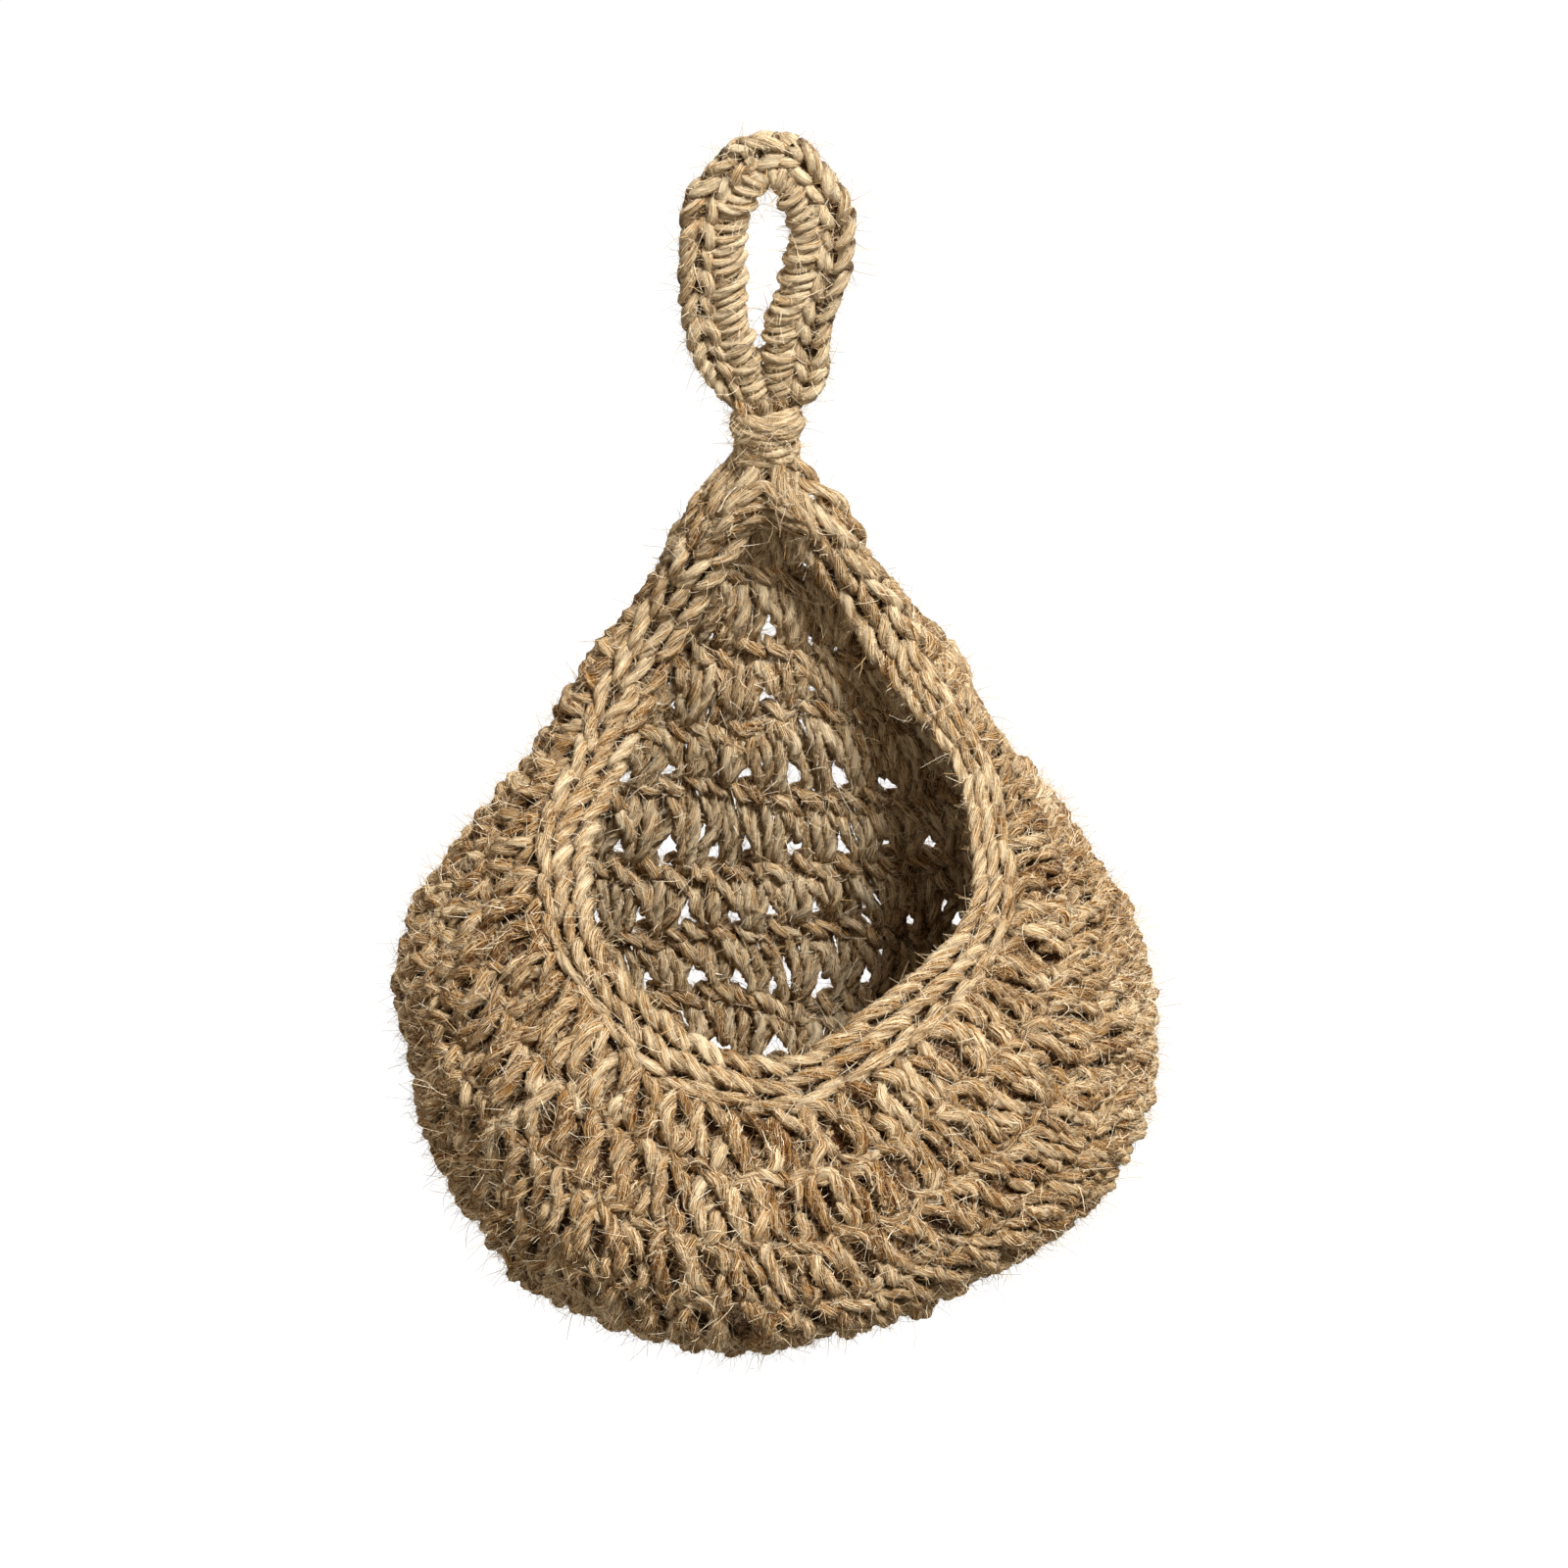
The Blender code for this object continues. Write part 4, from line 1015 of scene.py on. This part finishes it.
loop = dict(
    top=0.0, foot=-56.5 * mm, eyeWidth=10 * mm, gap=0.3 * mm, intoBinding=6 * mm,
    thickness=9 * mm,
    # how wide the band is drawn in, against its height over the binding's top
    drawn=((-6.0, 0.30), (-2.5, 0.42), (0.0, 0.58), (3.0, 0.78), (8.0, 0.94), (14.0, 1.0)),
    topDrawn=0.15,          # and how much of it is lost over the eye
    coverWidth=9.2 * mm, wrapPitch=2.8 * mm, wrapRadius=1.5 * mm, wrapSlant=-1.1 * mm,
    # painted light: the loop's yarn is painted lighter, as the light on the loop
    chainPitch=6.6 * mm, chainMiddle=12.0 * mm, chainRadius=1.9 * mm, paintedLightShift=0.08,
    lineSteps=600,          # points round the eye
    # toward the foot the legs draw together: over which height, and by which share of which width
    meetReach=17 * mm, meetMost=0.25, meetWidth=2.4 * mm,
    # the wrap: turns it leaves out at its ends, points to a turn, how far inside the band it runs
    wrapEnds=0.004, wrapSteps=20, wrapInset=0.8,
    wobbles=((0.4 * mm, 0.37), (0.4 * mm, 0.5), (0.3 * mm, 0.83)),
    # the hidden core under the wraps is darkened by painted shade
    coreRadius=1.5 * mm, coreShade=0.6, bendHeight=15 * mm,
    chainSlip=(0.05, 0.15, 0.2 * mm), chainSpread=0.07, chainLeaf=0.32,
    # the hidden cores under the chains are darkened by painted shade
    chainCores=(-2.4 * mm, 0.0, 2.2 * mm), chainCoreRadius=1.7 * mm, chainCoreShade=0.75,
    # (along the chain in pitches, then millimetres from its middle and out of it)
    leg=((-0.12, 3.6, -2.0), (0.25, 3.5, 0.8), (0.70, 2.8, 2.2),
         (1.10, 1.6, 1.8), (1.45, 0.5, -1.4)),
)
# the eye's outline from foot to foot: hundredths of half its width and of its height
eyeShares = (
    (0, 0), (0, 9), (-4, 20), (-22, 33), (-52, 48), (-85, 63), (-100, 78), (-95, 88), (-56, 97),
    (0, 105.5), (56, 97), (95, 88), (100, 78), (85, 63), (52, 48), (22, 33), (4, 20), (0, 9), (0, 0),
)


def makeLoop():
    look = loop
    across, up = np.array(eyeShares).T / 100
    side = np.sign(np.linspace(-1, 1, len(across)))
    x = side * look["gap"] / 2 + across * (look["eyeWidth"] - look["gap"]) / 2
    control = np.stack([x, np.zeros(len(x)), look["foot"] - up * look["foot"]], axis=1)
    steps = look["lineSteps"]
    line = smoothCurve(control, steps)
    leg = np.where(np.arange(steps) < steps / 2, -1, 1)
    meets = np.clip(1 - (line[:, 2] - look["foot"]) / look["meetReach"], 0, look["meetMost"])
    line[:, 0] = leg * (np.maximum(np.abs(line[:, 0]), look["gap"] / 2) - meets * look["meetWidth"])
    down = np.linspace(look["intoBinding"], 0, 60, endpoint=False)[:, None] * np.array([[0, 0, -1.0]])
    line = np.vstack([line[:1] + down, line, line[-1:] + down[::-1]])
    count = len(line)
    order = np.arange(count)
    along = unit(np.gradient(line, axis=0))
    outward = np.stack([-along[:, 2], np.zeros(count), along[:, 0]], axis=1)
    heights, shares = np.array(look["drawn"]).T
    narrow = np.interp((line[:, 2] - look["foot"]) / mm, heights, shares)
    narrow = narrow * (1 - look["topDrawn"] * np.clip(line[:, 2] / (6 * mm) + 0.8, 0, 1))

    def besideLoop(middle, place, aside, ahead):
        placed = readLine(middle, place) + unit(readLine(outward, place)) * aside[..., None]
        return placed + np.array([0.0, -1.0, 0.0]) * ahead[..., None]

    wraps = newPiece()
    cover = look["coverWidth"] * narrow
    middle = line + outward * cover[:, None] / 2
    lengths = lengthsAlong(middle)
    turns = lengths[-1] / look["wrapPitch"]
    t = np.linspace(look["wrapEnds"], 1 - look["wrapEnds"], int(turns * look["wrapSteps"]))
    place = np.interp(t * lengths[-1], lengths, order)
    a = fullTurn * turns * t
    inset = look["wrapRadius"] * look["wrapInset"]
    halfWide = np.interp(place, order, cover) / 2 - inset
    halfDeep = look["thickness"] / 2 - inset
    wobble = sum(size * np.sin(a * pace) for size, pace in look["wobbles"])
    path = besideLoop(middle, place, (halfWide + wobble) * np.cos(a), (halfDeep + wobble) * np.sin(a))
    path = path + readLine(along, place) * (look["wrapSlant"] * np.cos(a))[:, None]
    layYarn(wraps, path[None], look["wrapRadius"], paintedLightShift=look["paintedLightShift"])
    inside = middle[6:-6:3]
    layYarn(wraps, inside[None], look["coreRadius"], look["coreShade"], hidden=True)
    bend = ("hanging_loop", "neck", (0, 0, look["foot"] + look["bendHeight"]), (0, 0, look["foot"]))
    finishPiece("loopWrapYarn", wraps, ["loop_cover", "loop_core"], between=bend, fuzzShare=1.5)

    chain = newPiece()
    middle = line + outward * (look["chainMiddle"] * narrow)[:, None]
    lengths = lengthsAlong(middle)
    number = int(lengths[-1] / look["chainPitch"]) - 1
    for turn in (1, -1):
        for face in (1, -1):
            paths = stitchPaths(look["leg"], number, slip=look["chainSlip"], parts=1)
            place = np.interp(paths[..., 0] * look["chainPitch"], lengths, order)
            shift = turn * paths[..., 1] * mm * np.interp(place, order, narrow)
            placed = besideLoop(middle, place, shift, face * paths[..., 2])
            layYarn(chain, placed, look["chainRadius"], paintedShadeOf(paths[..., 2]), look["chainLeaf"], False,
                    look["paintedLightShift"], look["chainSpread"])
    for shift in look["chainCores"]:
        core = (middle + outward * (shift * narrow)[:, None])[8:-8:4]
        layYarn(chain, core[None], look["chainCoreRadius"], look["chainCoreShade"], hidden=True)
    finishPiece("loopEdgeYarn", chain, ["loop_edge_braid"], between=bend, fuzzShare=1.3)


makeLoop()


# stage

stage = dict(
    floorZ=-620 * mm, floorSize=40.0, shadow=0.2, floorColour="#8C8C8A", floorWhite=1.22,
    key=dict(place=(0.72, -0.95, 1.66), size=0.6, power=68.0),
    fill=dict(place=(-1.5, -1.2, 0.5), size=1.6, power=3.5),
    back=dict(place=(0.9, 1.5, 0.7), size=1.6, power=16.0),
    sky="#FFEBD2", skyStrength=0.34, floorRoughness=0.9,
    aim=(0, -0.06, -0.17),      # where the lamps point
)


# 1 where the camera, a reflection or a look through something sees the background
def seenDirectly(tree):
    rays = addNode(tree, "LightPath")
    seen = rays.outputs["Is Camera Ray"]
    for kind in ("Is Glossy Ray", "Is Transmission Ray"):
        more = addNode(tree, "Math", {"operation": "MAXIMUM"}, {0: seen, 1: rays.outputs[kind]})
        seen = more.outputs[0]
    return seen


def makeStage():
    look = stage
    half = look["floorSize"] / 2
    mesh = bpy.data.meshes.new("floor")
    corners = [(x * half, y * half, look["floorZ"]) for x, y in ((-1, -1), (1, -1), (1, 1), (-1, 1))]
    mesh.from_pydata(corners, [], [(0, 1, 2, 3)])
    floor = bpy.data.objects.new("floor", mesh)
    bpy.context.scene.collection.objects.link(floor)
    material, tree, shader = newMaterial("matteWhiteFloor")
    setInputs(shader, {"Base Color": linear(look["floorColour"]), "Roughness": look["floorRoughness"]})
    share = addNode(tree, "Math", {"operation": "MULTIPLY", 1: 1 - look["shadow"]},
                    {0: seenDirectly(tree)})
    white = addNode(tree, "Emission", {"Strength": look["floorWhite"]})
    mix = addNode(tree, "MixShader", {}, {0: share, 1: shader, 2: white})
    tree.links.new(mix.outputs[0], tree.nodes["Material Output"].inputs["Surface"])
    mesh.materials.append(material)

    world = bpy.data.worlds.new("studio")
    bpy.context.scene.world = world
    world.use_nodes = True
    tree = world.node_tree
    soft = tree.nodes["Background"]
    setInputs(soft, {"Color": linear(look["sky"]), "Strength": look["skyStrength"]})
    bright = addNode(tree, "Background", {"Strength": 1.0})
    setInputs(bright, {"Color": linear("#FFFFFF")})
    mix = addNode(tree, "MixShader", {}, {0: seenDirectly(tree), 1: soft, 2: bright})
    tree.links.new(mix.outputs[0], tree.nodes["World Output"].inputs["Surface"])

    aim = np.array(look["aim"])
    for name in ("key", "fill", "back"):
        lamp = look[name]
        data = bpy.data.lights.new(name, "AREA")
        data.shape = "DISK"
        data.size = lamp["size"]
        data.energy = lamp["power"]
        light = bpy.data.objects.new(name, data)
        light.location = lamp["place"]
        ahead = unit(aim - np.array(lamp["place"]))
        light.rotation_euler = (math.acos(-ahead[2]), 0, math.atan2(-ahead[0], ahead[1]))
        light.visible_camera = False
        bpy.context.scene.collection.objects.link(light)


makeStage()
print("stage: made")
